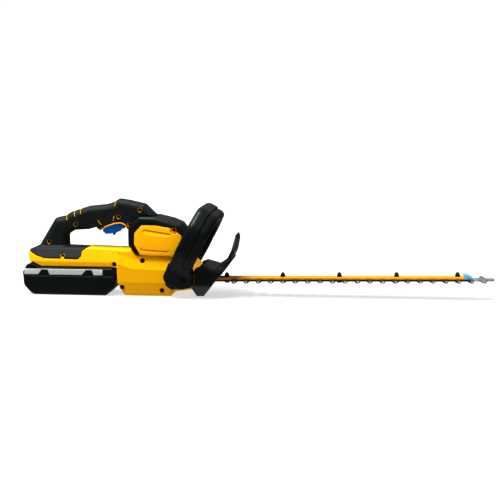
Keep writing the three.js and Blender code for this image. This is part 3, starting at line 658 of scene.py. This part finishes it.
def screw_sets(space):
    """Bosses, the clearance round them, and the sunk holes, on the right side."""
    far = np.full(np.broadcast(space.x, space.y, space.z).shape, np.inf)
    bosses, rooms, holes = far, far.copy(), far.copy()
    for x, z, half, collar in SCREWS:
        boss = rod(space, x, z, SCREW_BOSS)
        if (x, z) == PAD_SCREW:
            wide, high = BOSS_TAB
            tab = np.maximum(np.abs(space.x - x) - wide, np.abs(space.z - z + high) - high)
            boss = np.minimum(boss, tab)
        if collar:
            bosses = np.minimum(bosses, meet(boss, slab(space.y, BOSS_TOP - half, BOSS_LENGTH - half)))
            rooms = np.minimum(rooms, meet(boss - BOSS_ROOM, slab(space.y, -FAR, 2 * BOSS_LENGTH - half)))
        bore = COLLAR_BORE if collar else PLAIN_BORE
        hole = meet(rod(space, x, z, bore), slab(space.y, -FAR, SCREW_SINK + SCREW_SEAT - half))
        holes = np.minimum(holes, hole)
    return bosses, rooms, holes


HOUSING_REACH = 46


class SideSets:
    """The level sets that the pieces of one side share: side is -1 for the right one and 1 for the left."""

    def __init__(self, side):
        edge = side * HOUSING_REACH
        space = Space((-296, min(0, edge), -1), (130, max(0, edge), 224))
        self.side = side
        self.space = space
        self.half = space.y * -side + SEAM  # negative on this side of the middle plane
        self.pad = outline(PAD, space.x, space.z)
        self.mouth = outline(MOUTH, space.x, space.z)
        self.grip = grip_form(space)
        self.shroud = shroud_form(space)
        self.body = body_form(space)
        self.slits = slit_form(space)
        self.bosses, self.rooms, self.holes = screw_sets(space)

    def finish(self, field, openings):
        """Lets the screws in from the right, and ends the piece at the middle plane."""
        if self.side < 0:
            field = cut(field, openings)
        return meet(field, self.half, SEAM_EDGE)


RIM = 3.6  # yellow edge round the trigger's mouth
RIM_ROUNDING = 1
RIB_SUNK = 0.25  # the ribs in the slits stand this far below the skin
RIB_NARROWER = 0.2
BODY_FILLET = 3


def housing_outside(sets):
    """Deck, body, the core under the skin, the shroud's seat, and the rim, ribs and bosses that show."""
    space, grip, shroud = sets.space, sets.grip, sets.shroud
    deck = deck_form(space)
    shell = cut(join(cut(deck, sets.pad - FIT), sets.body, BODY_FILLET), shroud - FIT)
    core = cut(grip_form(space, CORE), shroud - FIT)
    seats = join(pad_form(space) + CORE, shroud_form(space, CORE))
    rim = cut(meet(grip, sets.mouth - RIM, RIM_ROUNDING), shroud - FIT)
    ribs = meet(grip + RIB_SUNK, sets.slits + RIB_NARROWER)
    bosses = meet(sets.bosses, np.minimum(np.minimum(grip, deck), shroud))
    return join(join(join(shell, core), join(seats, bosses)), join(rim, ribs))


# Rooms inside, each from its low corner to its high one.
BATTERY_BAY = ((-FAR, -25.4, 60), (-86, 25.4, 70))
RAIL_BAY = ((-FAR, -31.5, 68.4), (-86, 31.5, 74.5))
BLADE_MOUTH = ((110, -27, 25), (FAR, 27, 47))
MOTOR_ROOM = ((-22, -33, 85), (82, 33, 108))
TRIGGER_ROOM_HALF = 10.5
BODY_WALL = 3.5
BODY_ROOM_ROUNDING = 4
SHROUD_ROOM_ROUNDING = 8
DECK_ROOM_INSET = 3


def housing_room(sets):
    """The room inside for the motor, gears, board and switch."""
    space = sets.space
    depth = CORE + WALL
    edge, half = BODY_ROOM_ROUNDING, body_half(space.x, space.z)
    room = side_form(space, BODY, half, edge, edge, BODY_WALL)
    edge = SHROUD_ROOM_ROUNDING
    room = np.minimum(room, side_form(space, SHROUD, SHROUD_HALF, edge, edge, depth))
    edge, half = DECK_ROOM_INSET, DECK_HALF - DECK_ROOM_INSET
    room = np.minimum(room, side_form(space, DECK, half, edge, edge, depth + 1))
    room = np.minimum(room, block(space, *MOTOR_ROOM))
    room = np.minimum(room, meet(grip_form(space, depth), 1 - sets.slits))
    return cut(room, sets.bosses - 1)


def build_housing(sets, name):
    space = sets.space
    yellow = housing_outside(sets)
    for room in (BATTERY_BAY, RAIL_BAY, BLADE_MOUTH):
        yellow = cut(yellow, block(space, *room))
    yellow = cut(cut(yellow, sets.mouth), housing_room(sets))
    trigger_room = outline(TRIGGER_ROOM, space.x, space.z)
    yellow = cut(yellow, np.maximum(trigger_room, np.abs(space.y) - TRIGGER_ROOM_HALF))
    yellow = sets.finish(yellow, sets.holes)
    mould(f"{name}_moulding", yellow, space, "body", YELLOW, [name])


GRIP_TOP = 210  # the grip's front top is left out of its blend with the pad
PAD_FILLET = 5
PAD_FILLET_REACH = 12  # how far outside the pad's outline the blend may show
RIM_GAP = 0.4


def build_overmould(sets, name):
    """The soft skin of the grip, running out into the base pad."""
    space, grip, pad = sets.space, sets.grip, sets.pad
    blend = join(meet(pad_form(space), pad), meet(grip, space.z - GRIP_TOP), PAD_FILLET)
    soft = np.minimum(grip, meet(blend, pad - PAD_FILLET_REACH))
    soft = cut(soft, np.minimum(grip_form(space, SKIN), pad_form(space) + SKIN))
    soft = cut(cut(soft, sets.shroud - FIT), sets.mouth - RIM - RIM_GAP)
    soft = cut(soft, sets.slits - RIB_NARROWER)
    soft = sets.finish(soft, sets.rooms)
    mould(f"{name}_skin", soft, space, "body", RUBBER, [name])


COVER_GAP = 0.4
OPENING_FROM = 30  # the opening for the cover runs in to this half width
OPENING_ROUNDING = 0.8
RIDGE_MIDDLE = 5  # distance of the ridge from the cover's opening
RIDGE_REACH = 6
RIDGE_RISE = 0.5
RIDGE_FROM = 36  # the ridge is on the face only, beyond this half width
BODY_GAP = 0.4
BODY_SHOULDER_Z = 108


def build_shroud(sets, name):
    """The shroud: a shell with an opening for the cover, and a bevelled ridge round that."""
    space, shroud = sets.space, sets.shroud
    window = outline(COVER, space.x, space.z) - COVER_GAP
    opening = np.maximum(window, OPENING_FROM - np.abs(space.y))
    ridge = np.clip(RIDGE_REACH - np.abs(window - RIDGE_MIDDLE), 0, RIDGE_REACH) / RIDGE_REACH
    raised = shroud - RIDGE_RISE * ridge * (np.abs(space.y) > RIDGE_FROM)
    shell = cut(cut(raised, shroud_form(space, SKIN)), opening, OPENING_ROUNDING)
    shell = cut(shell, np.maximum(sets.body - BODY_GAP, space.z - BODY_SHOULDER_Z))
    shell = sets.finish(shell, sets.rooms)
    mould(f"{name}_moulding", shell, space, "body", BLACK, [name])


# The vents as (side outline, top edge from its left end to its right end).
VENTS = [
    (
        [(-11.5, 148), (-4.5, 155.5), (56, 146.5), (58.5, 142.5), (52, 140.5), (-8, 143.5)],
        ((-4.5, 155.5), (56, 146.5)),
    ),
    (
        [(-15, 115), (-9.5, 110.5), (47, 106), (53.5, 111), (49, 102.5), (-12, 105.5)],
        ((-9.5, 110.5), (47, 106)),
    ),
]
VENT_PITCH = 4.6
VENT_RIB_HALF = 0.9
VENT_RIB_DROP = 1.8  # how far the ribs reach down from the top edge
VENT_RIB_SUNK = 0.9
VENT_RIB_ROOTS = (0.5, 0.6)  # how far they run into the pocket's wall, and into its floor
VENT_CORNER = 0.4
VENT_EDGE = 0.3
VENT_DEPTH = (0.3, 3.2)  # at the bottom edge, and at the top one
VENT_SLOPE = 0.32
COVER_BACK, COVER_FRONT = 41, 48  # the grid's reach across the tool
COVER_MIDDLE = (26, 131)
COVER_PROUD = 1.2
COVER_CROWN = 1.8  # the face falls by this over COVER_CROWN_RUN, up and down
COVER_CROWN_RUN = 36
COVER_FLAT = 30  # and by COVER_END_FALL over COVER_END_RUN, beyond this along the tool
COVER_END_FALL = 2.2
COVER_END_RUN = 26
COVER_ROUNDING = 1.6
COVER_HOLE = 9  # radius of the notch round its screw
NOTCH_INSET = 2.2  # of the notched line along the lower edge
NOTCH_HALF = 0.6
NOTCH_TOP = 104
NOTCH_DEPTH = 0.8


def cover_face(space):
    """How far out the crowned panel stands."""
    x, z = COVER_MIDDLE
    turn = np.maximum(np.abs(space.x - x) - COVER_FLAT, 0) / COVER_END_RUN
    crown = COVER_CROWN * ((space.z - z) / COVER_CROWN_RUN) ** 2
    return SHROUD_HALF + COVER_PROUD - crown - COVER_END_FALL * turn**2


def build_cover(side, name):
    """The motor cover: a crowned panel with two vents, pockets with a sloping floor and a row of ribs."""
    inner, outer = sorted((side * COVER_BACK, side * COVER_FRONT))
    space = Space((-31, inner, 95), (84, outer, 167), GRID / 2)
    out = space.y * side
    edge = outline(COVER, space.x, space.z)
    face = cover_face(space)
    panel = meet(edge, np.maximum(out - face, SHROUD_HALF - SKIN - out), COVER_ROUNDING)
    louvre = np.abs(space.x % VENT_PITCH - VENT_PITCH / 2) - VENT_RIB_HALF
    shallow, deep = VENT_DEPTH
    for corners, ((x0, z0), (x1, z1)) in VENTS:
        pocket = outline(corners, space.x, space.z)
        drop = z0 + (z1 - z0) * (space.x - x0) / (x1 - x0) - space.z
        floor = face - np.clip(deep - VENT_SLOPE * drop, shallow, deep)
        panel = cut(panel, meet(pocket, floor - out, VENT_CORNER), VENT_EDGE)
        into_wall, into_floor = VENT_RIB_ROOTS
        ribs = np.maximum(np.maximum(louvre, drop - VENT_RIB_DROP), pocket - into_wall)
        ribs = np.maximum(ribs, np.maximum(out - face + VENT_RIB_SUNK, floor - into_floor - out))
        panel = join(panel, ribs)
    notches = np.maximum(np.abs(edge + NOTCH_INSET) - NOTCH_HALF, space.z - NOTCH_TOP)
    panel = cut(panel, np.maximum(np.maximum(notches, -louvre), face - NOTCH_DEPTH - out))
    panel = cut(panel, rod(space, *COVER_SCREW, COVER_HOLE), OPENING_ROUNDING)
    mould(f"{name}_panel", panel, space, "body", YELLOW, [name])


for side_, word in ((-1, "right"), (1, "left")):
    side_sets = SideSets(side_)
    build_housing(side_sets, f"housing_{word}")
    build_overmould(side_sets, f"grip_overmould_{word}")
    build_shroud(side_sets, f"motor_shroud_{word}")
    build_cover(side_, f"motor_cover_{word}")

# ---------- Front handle ----------


def leaning(points):
    """From the front handle's own frame to the tool's."""
    x, y, z = points.T
    cos, sin = math.cos(HANDLE_LEAN), math.sin(HANDLE_LEAN)
    return np.stack([HANDLE_FOOT[0] + x * cos + z * sin, y, HANDLE_FOOT[1] - x * sin + z * cos], 1)


def mirrored_corners(half):
    """A front outline from the corners of its left half, going up it and back down the right."""
    return list(half) + [(-corner[0], *corner[1:]) for corner in reversed(half)]


LOOP = mirrored_corners(LOOP_OUTSIDE) + list(reversed(mirrored_corners(LOOP_INSIDE)))
LOOP_ROUNDING = (9, 13)  # in the front view, and along the tool
PART_LINE = 3  # the shells meet this far in front of the loop's middle
STEP_IN = 3.2  # the front shell is that much slimmer
STEP_RUN = (4, 60)  # the step starts this far above the feet, and is full after this rise
FOOT_MIDDLE = 52.4  # of a foot, from the tool's middle plane
FOOT_THICK = 7.6  # half of it
FOOT_ROUNDING = (4, 3.5)
FOOT_FILLET = 9
SHELL_EDGE = 1.2  # rounding of the rear shell at the part line
SMALL_EDGE = 0.8  # and of the front shell and the recesses
RECESS_RADIUS = 6
RECESS_DEPTH = 4
SHELL_SCREW = (84.5, 120)  # y and height in the loop
SHELL_SCREW_RADIUS = 4.1
SHELL_WALL = 4  # left under each of those screws
HOLE_EDGE = 0.6


def foot_plates(space):
    plate = outline(FOOT, space.x, space.z)
    return pill(plate, np.abs(space.y) - FOOT_MIDDLE, FOOT_THICK, *FOOT_ROUNDING)


def rear_shell(space, tube):
    """The loop behind its part line, both lower legs whole, and the feet with their screws' recesses."""
    legs = np.maximum(tube, space.z - FOOT_TOP)
    shell = np.minimum(meet(tube, space.x - PART_LINE, SHELL_EDGE), legs)
    shell = join(shell, foot_plates(space), FOOT_FILLET)
    recess = rod(space, *FOOT_SCREW, RECESS_RADIUS)
    return cut(shell, np.maximum(recess, FOOT_HALF - RECESS_DEPTH - np.abs(space.y)), SMALL_EDGE)


def front_shell(space, ring):
    """The slimmer half of the loop in front of the part line, with two screw holes."""
    start, run = STEP_RUN
    slimmer = STEP_IN * np.clip((space.z - FOOT_TOP - start) / run, 0, 1)
    slim = pill(ring + slimmer, space.x, HANDLE_DEPTH - 1, *LOOP_ROUNDING)
    behind = np.maximum(PART_LINE + FIT - space.x, FOOT_TOP + FIT - space.z)
    shell = meet(slim, behind, SMALL_EDGE)
    across, height = SHELL_SCREW
    for y in (-across, across):
        hole = np.hypot(space.y - y, space.z - height) - SHELL_SCREW_RADIUS
        shell = cut(shell, np.maximum(hole, PART_LINE + SHELL_WALL - space.x), HOLE_EDGE)
    return shell


def build_front_handle():
    space = Space((-27, -99, -8), (44, 99, 197))
    ring = outline(LOOP, space.y, space.z)
    tube = pill(ring, space.x, HANDLE_DEPTH, *LOOP_ROUNDING)
    for end, form in (("rear", rear_shell(space, tube)), ("front", front_shell(space, ring))):
        stands_for = [f"front_handle_{end}_shell"]
        mould(f"front_handle_{end}", form, space, "body", BLACK, stands_for, leaning)


build_front_handle()

# ---------- Hand guard ----------

GUARD_WALL = 4
GUARD_ROUNDING = 5
GUARD_EDGE = 1
GUARD_ROOM = ((80, -58, 29), (122, 58, 80))  # open behind, round the nose
BLADE_ROOM = ((110, -24, 26), (FAR, 24, 48))
SHIELD_RIM = (0.9, 2)  # how far the rim stands off the shield, and half its width
SHIELD_RIM_FROM = 95
SHIELD_EDGE = 1.5
FOOT_GAP = 1
NOSE_GAP = 0.8


def guard_hood(space):
    """The hood's outer form, and the room in it."""
    front = outline(HOOD_FRONT, space.y, space.z)
    wedge = np.maximum(outline(GUARD_HOOD, space.x, space.z), front)
    hood = pill(wedge, space.y, GUARD_HALF, GUARD_ROUNDING, GUARD_ROUNDING)
    room = np.maximum(wedge + GUARD_WALL, np.abs(space.y) - GUARD_HALF + GUARD_WALL)
    return hood, np.minimum(room, np.maximum(block(space, *GUARD_ROOM), front + GUARD_WALL))


def guard_shield(space):
    """The thin upturned shield, with a rim round its edge."""
    front = outline(SHIELD_FRONT, space.y, space.z)
    swept = outline(GUARD_SHIELD, space.x, space.z)
    rise, width = SHIELD_RIM
    rim = meet(swept - rise, np.abs(front + width) - width, SMALL_EDGE)
    rim = np.maximum(rim, SHIELD_RIM_FROM - space.z)
    return join(meet(swept, front, SHIELD_EDGE), rim, HOLE_EDGE)


def guard_rooms(space):
    """The room that the guard leaves for the handle's feet and the housing's nose."""
    cos, sin = math.cos(HANDLE_LEAN), math.sin(HANDLE_LEAN)
    x, z = space.x - HANDLE_FOOT[0], space.z - HANDLE_FOOT[1]
    foot = outline(FOOT, x * cos - z * sin, x * sin + z * cos) - FOOT_GAP
    foot = np.maximum(foot, np.abs(space.y) - FOOT_HALF - FOOT_GAP)
    nose = np.maximum(outline(BODY, space.x, space.z), np.abs(space.y) - BODY_HALF) - NOSE_GAP
    return foot, nose


def build_guard():
    space = Space((100, -76, 0), (208, 76, 150))
    hood, inner = guard_hood(space)
    foot, nose = guard_rooms(space)
    guard = join(hood, guard_shield(space), GUARD_ROUNDING)
    guard = cut(cut(cut(guard, inner, GUARD_EDGE), foot), nose)
    guard = cut(guard, block(space, *BLADE_ROOM), GUARD_EDGE)
    mould("guard", guard, space, "body", BLACK, ["hand_guard"])


build_guard()

# ---------- Battery ----------

CASE_SPLIT_Z = 45
CASE_ROUNDING = 5
CASE_EDGE = 0.6  # rounding where the two halves meet
RAIL_EDGE = 0.5
CASE_TUCK = (22, 3)  # below this height the sides draw in by this much
CASE_END = (-272, 20, 4)  # behind this x, over this length, they draw in by this much
RAIL_WEB = ((-268, -24.8, 61.5), (-100, 24.8, 69.5))
RAIL_FLANGE = ((-268, -31, 69), (-100, 31, 74))
CONTACT_SLOT_YS = (-15, -5, 5, 15)
CONTACT_SLOT_HALF = 1.2
LATCH_ROOM = ((-290, -12, 56), (-272, 12, 80))
LATCH_WALL = 3.6
BADGE_GAP = 0.4
BADGE_DEPTH = 1.3
BADGE_RIB = [(-262, 45), (-246, 62), (-234, 62), (-223, 45)]
BAND = (47, 0.8, 0.7)  # height, half width and depth of the groove under the badge


def battery_form(space, depth=0.0):
    tuck_top, tuck_in = CASE_TUCK
    end_x, end_run, end_in = CASE_END
    tuck = np.maximum(tuck_top - space.z, 0) / tuck_top
    end = np.maximum(end_x - space.x, 0) / end_run
    half = BATTERY_HALF - tuck_in * tuck**2 - end_in * end**2
    return side_form(space, BATTERY, half, CASE_ROUNDING, CASE_ROUNDING, depth)


def battery_case(space, latch):
    """The whole hollow case, with the badges' pockets and the groove under them."""
    badge = outline(BADGE, space.x, space.z) - BADGE_GAP
    pocket = np.maximum(badge, BATTERY_HALF - BADGE_DEPTH - np.abs(space.y))
    rib = np.maximum(outline(BADGE_RIB, space.x, space.z), badge)
    band_z, band_half, band_depth = BAND
    band = np.maximum(np.abs(space.z - band_z) - band_half, BATTERY_HALF - band_depth - np.abs(space.y))
    case = cut(cut(battery_form(space), pocket), np.maximum(band, -rib))
    hollow = cut(battery_form(space, WALL), latch - LATCH_WALL)
    return cut(cut(case, hollow), latch - FIT)


def battery_rails(space):
    return np.minimum(block(space, *RAIL_WEB, RAIL_EDGE), block(space, *RAIL_FLANGE, RAIL_EDGE))


def build_battery():
    space = Space((-296, -42, -1), (-73, 42, 76))
    latch = block(space, *LATCH_ROOM)
    case = battery_case(space, latch)
    lower = meet(case, space.z - CASE_SPLIT_Z, CASE_EDGE)
    upper = meet(case, CASE_SPLIT_Z + FIT - space.z, CASE_EDGE)
    upper = np.minimum(upper, battery_rails(space))
    for y in CONTACT_SLOT_YS:
        slot = block(space, (-112, y - CONTACT_SLOT_HALF, 58), (-99, y + CONTACT_SLOT_HALF, 90))
        upper = cut(upper, slot)
    upper = cut(upper, latch - FIT)
    for name, form in (("battery_case_lower", lower), ("battery_case_upper", upper)):
        mould(f"{name}_shell", form, space, "battery", BATTERY_BLACK, [name])


build_battery()

# ---------- Trigger and its spring ----------

TRIGGER_HALF = 9
TRIGGER_ROUNDING = (5, 6)
TRIGGER_EDGE = 0.6
TRIGGER_SLOT_HALF = 4
TRIGGER_PIN = (-63, 160, 1.8)
GROOVES = ((-106, 142), (-100, 139.6), (-94, 139.4), (-88, 140.4))  # shallow, for the finger
GROOVE_DROP = 1.2
GROOVE_RADIUS = 1.9


def build_trigger():
    space = Space((-113, -10, 136), (-56, 10, 168), GRID / 2)
    paddle = side_form(space, TRIGGER, TRIGGER_HALF, *TRIGGER_ROUNDING)
    paddle = cut(paddle, rod(space, *TRIGGER_PIN))
    slot = outline(TRIGGER_SLOT, space.x, space.z)
    paddle = cut(paddle, np.maximum(slot, np.abs(space.y) - TRIGGER_SLOT_HALF), TRIGGER_EDGE)
    for x, z in GROOVES:
        paddle = cut(paddle, rod(space, x, z - GROOVE_DROP, GROOVE_RADIUS), TRIGGER_EDGE)
    mould("trigger_paddle", paddle, space, "trigger", BLUE, ["trigger"])


build_trigger()

SPRING_X = -98
SPRING_LOW = 163.2
SPRING_HIGH = 176.6
SPRING_RADIUS = 4
SPRING_WIRE = 0.7
SPRING_TURNS = 5


def spring_mesh():
    """A coil of round wire, closed at both ends."""
    steps, sides = ((180, 10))
    share = np.linspace(0, 1, steps)[:, None]
    coil = 2 * math.pi * SPRING_TURNS * share
    round_ = np.linspace(0, 2 * math.pi, sides, endpoint=False)[None, :]
    reach = SPRING_RADIUS + SPRING_WIRE * np.cos(round_)
    rise = SPRING_LOW + SPRING_WIRE + share * (SPRING_HIGH - SPRING_LOW - 2 * SPRING_WIRE)
    points = np.stack([
        SPRING_X + reach * np.cos(coil),
        reach * np.sin(coil),
        rise + SPRING_WIRE * np.sin(round_),
    ], 2)
    ring = np.arange(steps * sides).reshape(steps, sides)
    ahead = np.roll(ring, -1, axis=1)
    quads = np.stack([ring[:-1], ahead[:-1], ahead[1:], ring[1:]], 2).reshape(-1, 4)
    mesh = mesh_of("spring", points.reshape(-1, 3), quads)
    caps = bmesh.new()
    caps.from_mesh(mesh)
    bmesh.ops.holes_fill(caps, edges=caps.edges)
    caps.to_mesh(mesh)
    caps.free()
    return mesh


def build_spring():
    """Between the trigger and its switch, on a mesh of its own."""
    spring = place("trigger_return_spring", spring_mesh(), "body", STEEL, ["trigger_spring"])
    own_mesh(spring)


build_spring()

# ---------- Screws and the other kept pieces ----------

SCREW_GRID = 0.35
HEAD_RADIUS = 3.4
HEAD_DEPTH = 3
HEAD_ROUNDING = 0.9
SHANK_RADIUS = 1.6
SHANK_END = 18.5
DRIVE_RADIUS = 1.65
DRIVE_LOBE = 0.35
DRIVE_LOBES = 6
DRIVE_DEPTH = 1.7
PLAIN_SCREW_SIZE = 1.35  # the four heads without collars, over the others
GRIP_SCREW_LENGTH = 0.72  # the grip is thinner, and so are its screws


def screw_mesh():
    """A pan head with a six-lobed drive, and its shank, pointing along +Y from the head's outer face."""
    space = Space((-4, -0.5, -4), (4, 20, 4), SCREW_GRID)
    radius = np.hypot(space.x, space.z)
    turn = np.arctan2(space.z, space.x)
    head = meet(radius - HEAD_RADIUS, slab(space.y, 0, HEAD_DEPTH), HEAD_ROUNDING)
    shank = np.maximum(radius - SHANK_RADIUS, slab(space.y, HEAD_DEPTH - 0.5, SHANK_END))
    lobes = radius - DRIVE_RADIUS - DRIVE_LOBE * np.cos(DRIVE_LOBES * turn)
    drive = np.maximum(lobes, space.y - DRIVE_DEPTH)
    return mesh_of("screw", *skin(cut(np.minimum(head, shank), drive), space))


def build_screws():
    shared = screw_mesh()
    shared.materials.append(DARK_STEEL)
    for number, (x, z, half, collar) in enumerate(SCREWS, 1):
        screw = add_object(f"screw_{number:02d}", shared)
        screw.location = Vector((x, SCREW_SINK - half, z)) * MM
        wide = 1 if collar else PLAIN_SCREW_SIZE
        long = GRIP_SCREW_LENGTH if half == GRIP_HALF else 1
        screw.scale = (wide, long, wide)
        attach(screw, "body")
        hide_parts(f"housing_screw_{number:02d}")


build_screws()

WELD_DISTANCE = 0.000002  # metres
SHARP_EDGE = math.radians(28)


def soften(names, width, segments=2):
    """Breaks the sharp edges of kept CAD nodes."""
    for name in names:
        node = nodes[name]
        node.modifiers.new("weld", "WELD").merge_threshold = WELD_DISTANCE
        bevel = node.modifiers.new("edge", "BEVEL")
        bevel.width = width * MM
        bevel.segments = segments
        bevel.limit_method = "ANGLE"
        bevel.angle_limit = SHARP_EDGE
        bevel.harden_normals = True
        node.data.shade_smooth()


soften(["upper_blade", "lower_blade"], 0.6, 1)
soften(["blade_support_bar"], 0.8)
soften(["bar_tip_block", "lock_off_lever", "battery_latch"], 0.6)
soften([f"blade_{kind}_{number}" for kind in ("nut", "bolt") for number in range(1, 6)], 0.4)
soften(["battery_badge_right", "battery_badge_left"], 0.3)

# ---------- Light, floor and camera ----------

SUN_TOWARDS = (-0.45, -0.5, 1.5)
SUN_STRENGTH = 5.4
SUN_SPREAD = 35  # degrees across, so that shadows are soft
ROOM_LIGHT = (0.17, 1.0)  # level with the tool, and above and below it
ROOM_STEEPNESS = (0.1, 0.8)  # share of straight up where the room's light starts and ends its rise
BACKDROP = 1.05  # strength of the white behind the tool
CONTRAST = 0.78  # below 1 deepens the shadows and leaves white alone
FLOOR_HALF = 30  # metres
FLOOR_DROP = 0.0004
FLOOR_COLOR = rgba(0.24, 0.25, 0.25)
FLOOR_GLOW = (rgba(0.985, 1, 0.995), 0.66)

CAMERA_AIM = (0.232, 0, 0.106)
CAMERA_AZIMUTH = 6
CAMERA_ELEVATION = 8
CAMERA_DISTANCE = 2.3
CAMERA_LENS = 72.26
CAMERA_SENSOR = 36


def build_sun():
    light = bpy.data.lights.new("overhead", "SUN")
    light.energy = SUN_STRENGTH
    light.angle = math.radians(SUN_SPREAD)
    lamp = add_object("overhead", light)
    lamp.rotation_euler = Vector(SUN_TOWARDS).to_track_quat("Z", "Y").to_euler()


def build_room():
    """A white backdrop, and light that is stronger from above and below than from the sides."""
    world = bpy.data.worlds.new("studio")
    room = Nodes(world)
    spot = room.add("ShaderNodeTexCoord").outputs["Generated"]
    height = room.add("ShaderNodeSeparateXYZ", {0: spot}).outputs["Z"]
    steep = room.add("ShaderNodeMath", {0: height}, operation="ABSOLUTE").outputs[0]
    light = room.spread(steep, *ROOM_STEEPNESS, ROOM_LIGHT)
    seen = room.add("ShaderNodeLightPath").outputs["Is Camera Ray"]
    strength = room.spread(seen, 0, 1, (light, BACKDROP))
    background = room.tree.nodes["Background"]
    room.feed(background.inputs["Strength"], strength)
    background.inputs["Color"].default_value = rgba(1, 1, 1)
    bpy.context.scene.world = world
    bpy.context.scene.view_settings.view_transform = "Standard"
    bpy.context.scene.view_settings.gamma = CONTRAST


def build_floor():
    floor = add_object("floor", bpy.data.meshes.new("floor"))
    shape = bmesh.new()
    bmesh.ops.create_grid(shape, x_segments=1, y_segments=1, size=FLOOR_HALF)
    shape.to_mesh(floor.data)
    shape.free()
    floor.location = (0, 0, -FLOOR_DROP)
    paper = Nodes(bpy.data.materials.new("floor_paper"))
    glow, strength = FLOOR_GLOW
    paper.finish(Base_Color=FLOOR_COLOR, Roughness=0.9, Emission_Color=glow, Emission_Strength=strength)
    floor.data.materials.append(paper.owner)
    # The white paper would light the undersides and fill the black mouldings with its reflection.
    floor.visible_diffuse = False
    floor.visible_glossy = False


def build_camera():
    azimuth, elevation = math.radians(CAMERA_AZIMUTH), math.radians(CAMERA_ELEVATION)
    back = Vector((
        math.sin(azimuth) * math.cos(elevation),
        -math.cos(azimuth) * math.cos(elevation),
        math.sin(elevation),
    ))
    camera = add_object("camera", bpy.data.cameras.new("camera"))
    camera.data.lens = CAMERA_LENS
    camera.data.sensor_width = CAMERA_SENSOR
    camera.location = Vector(CAMERA_AIM) + CAMERA_DISTANCE * back
    camera.rotation_euler = (-back).to_track_quat("-Z", "Y").to_euler()
    bpy.context.scene.camera = camera


# The blades take the ground steel. The bar's metal end takes the pale blue of its painted sky reflection.
NODE_MATERIALS = {"upper_blade": BLADE_STEEL, "lower_blade": BLADE_STEEL, "bar_tip_block": TIP_PAINTED_REFLECTION}
for subpart in frame["record"]["subparts"]:
    name_ = subpart["node"]
    nodes[name_].data.materials.clear()
    look = NODE_MATERIALS.get(name_, SLOT_MATERIALS[subpart["material_slot"]])
    nodes[name_].data.materials.append(look)
build_room()
build_floor()
build_sun()
build_camera()
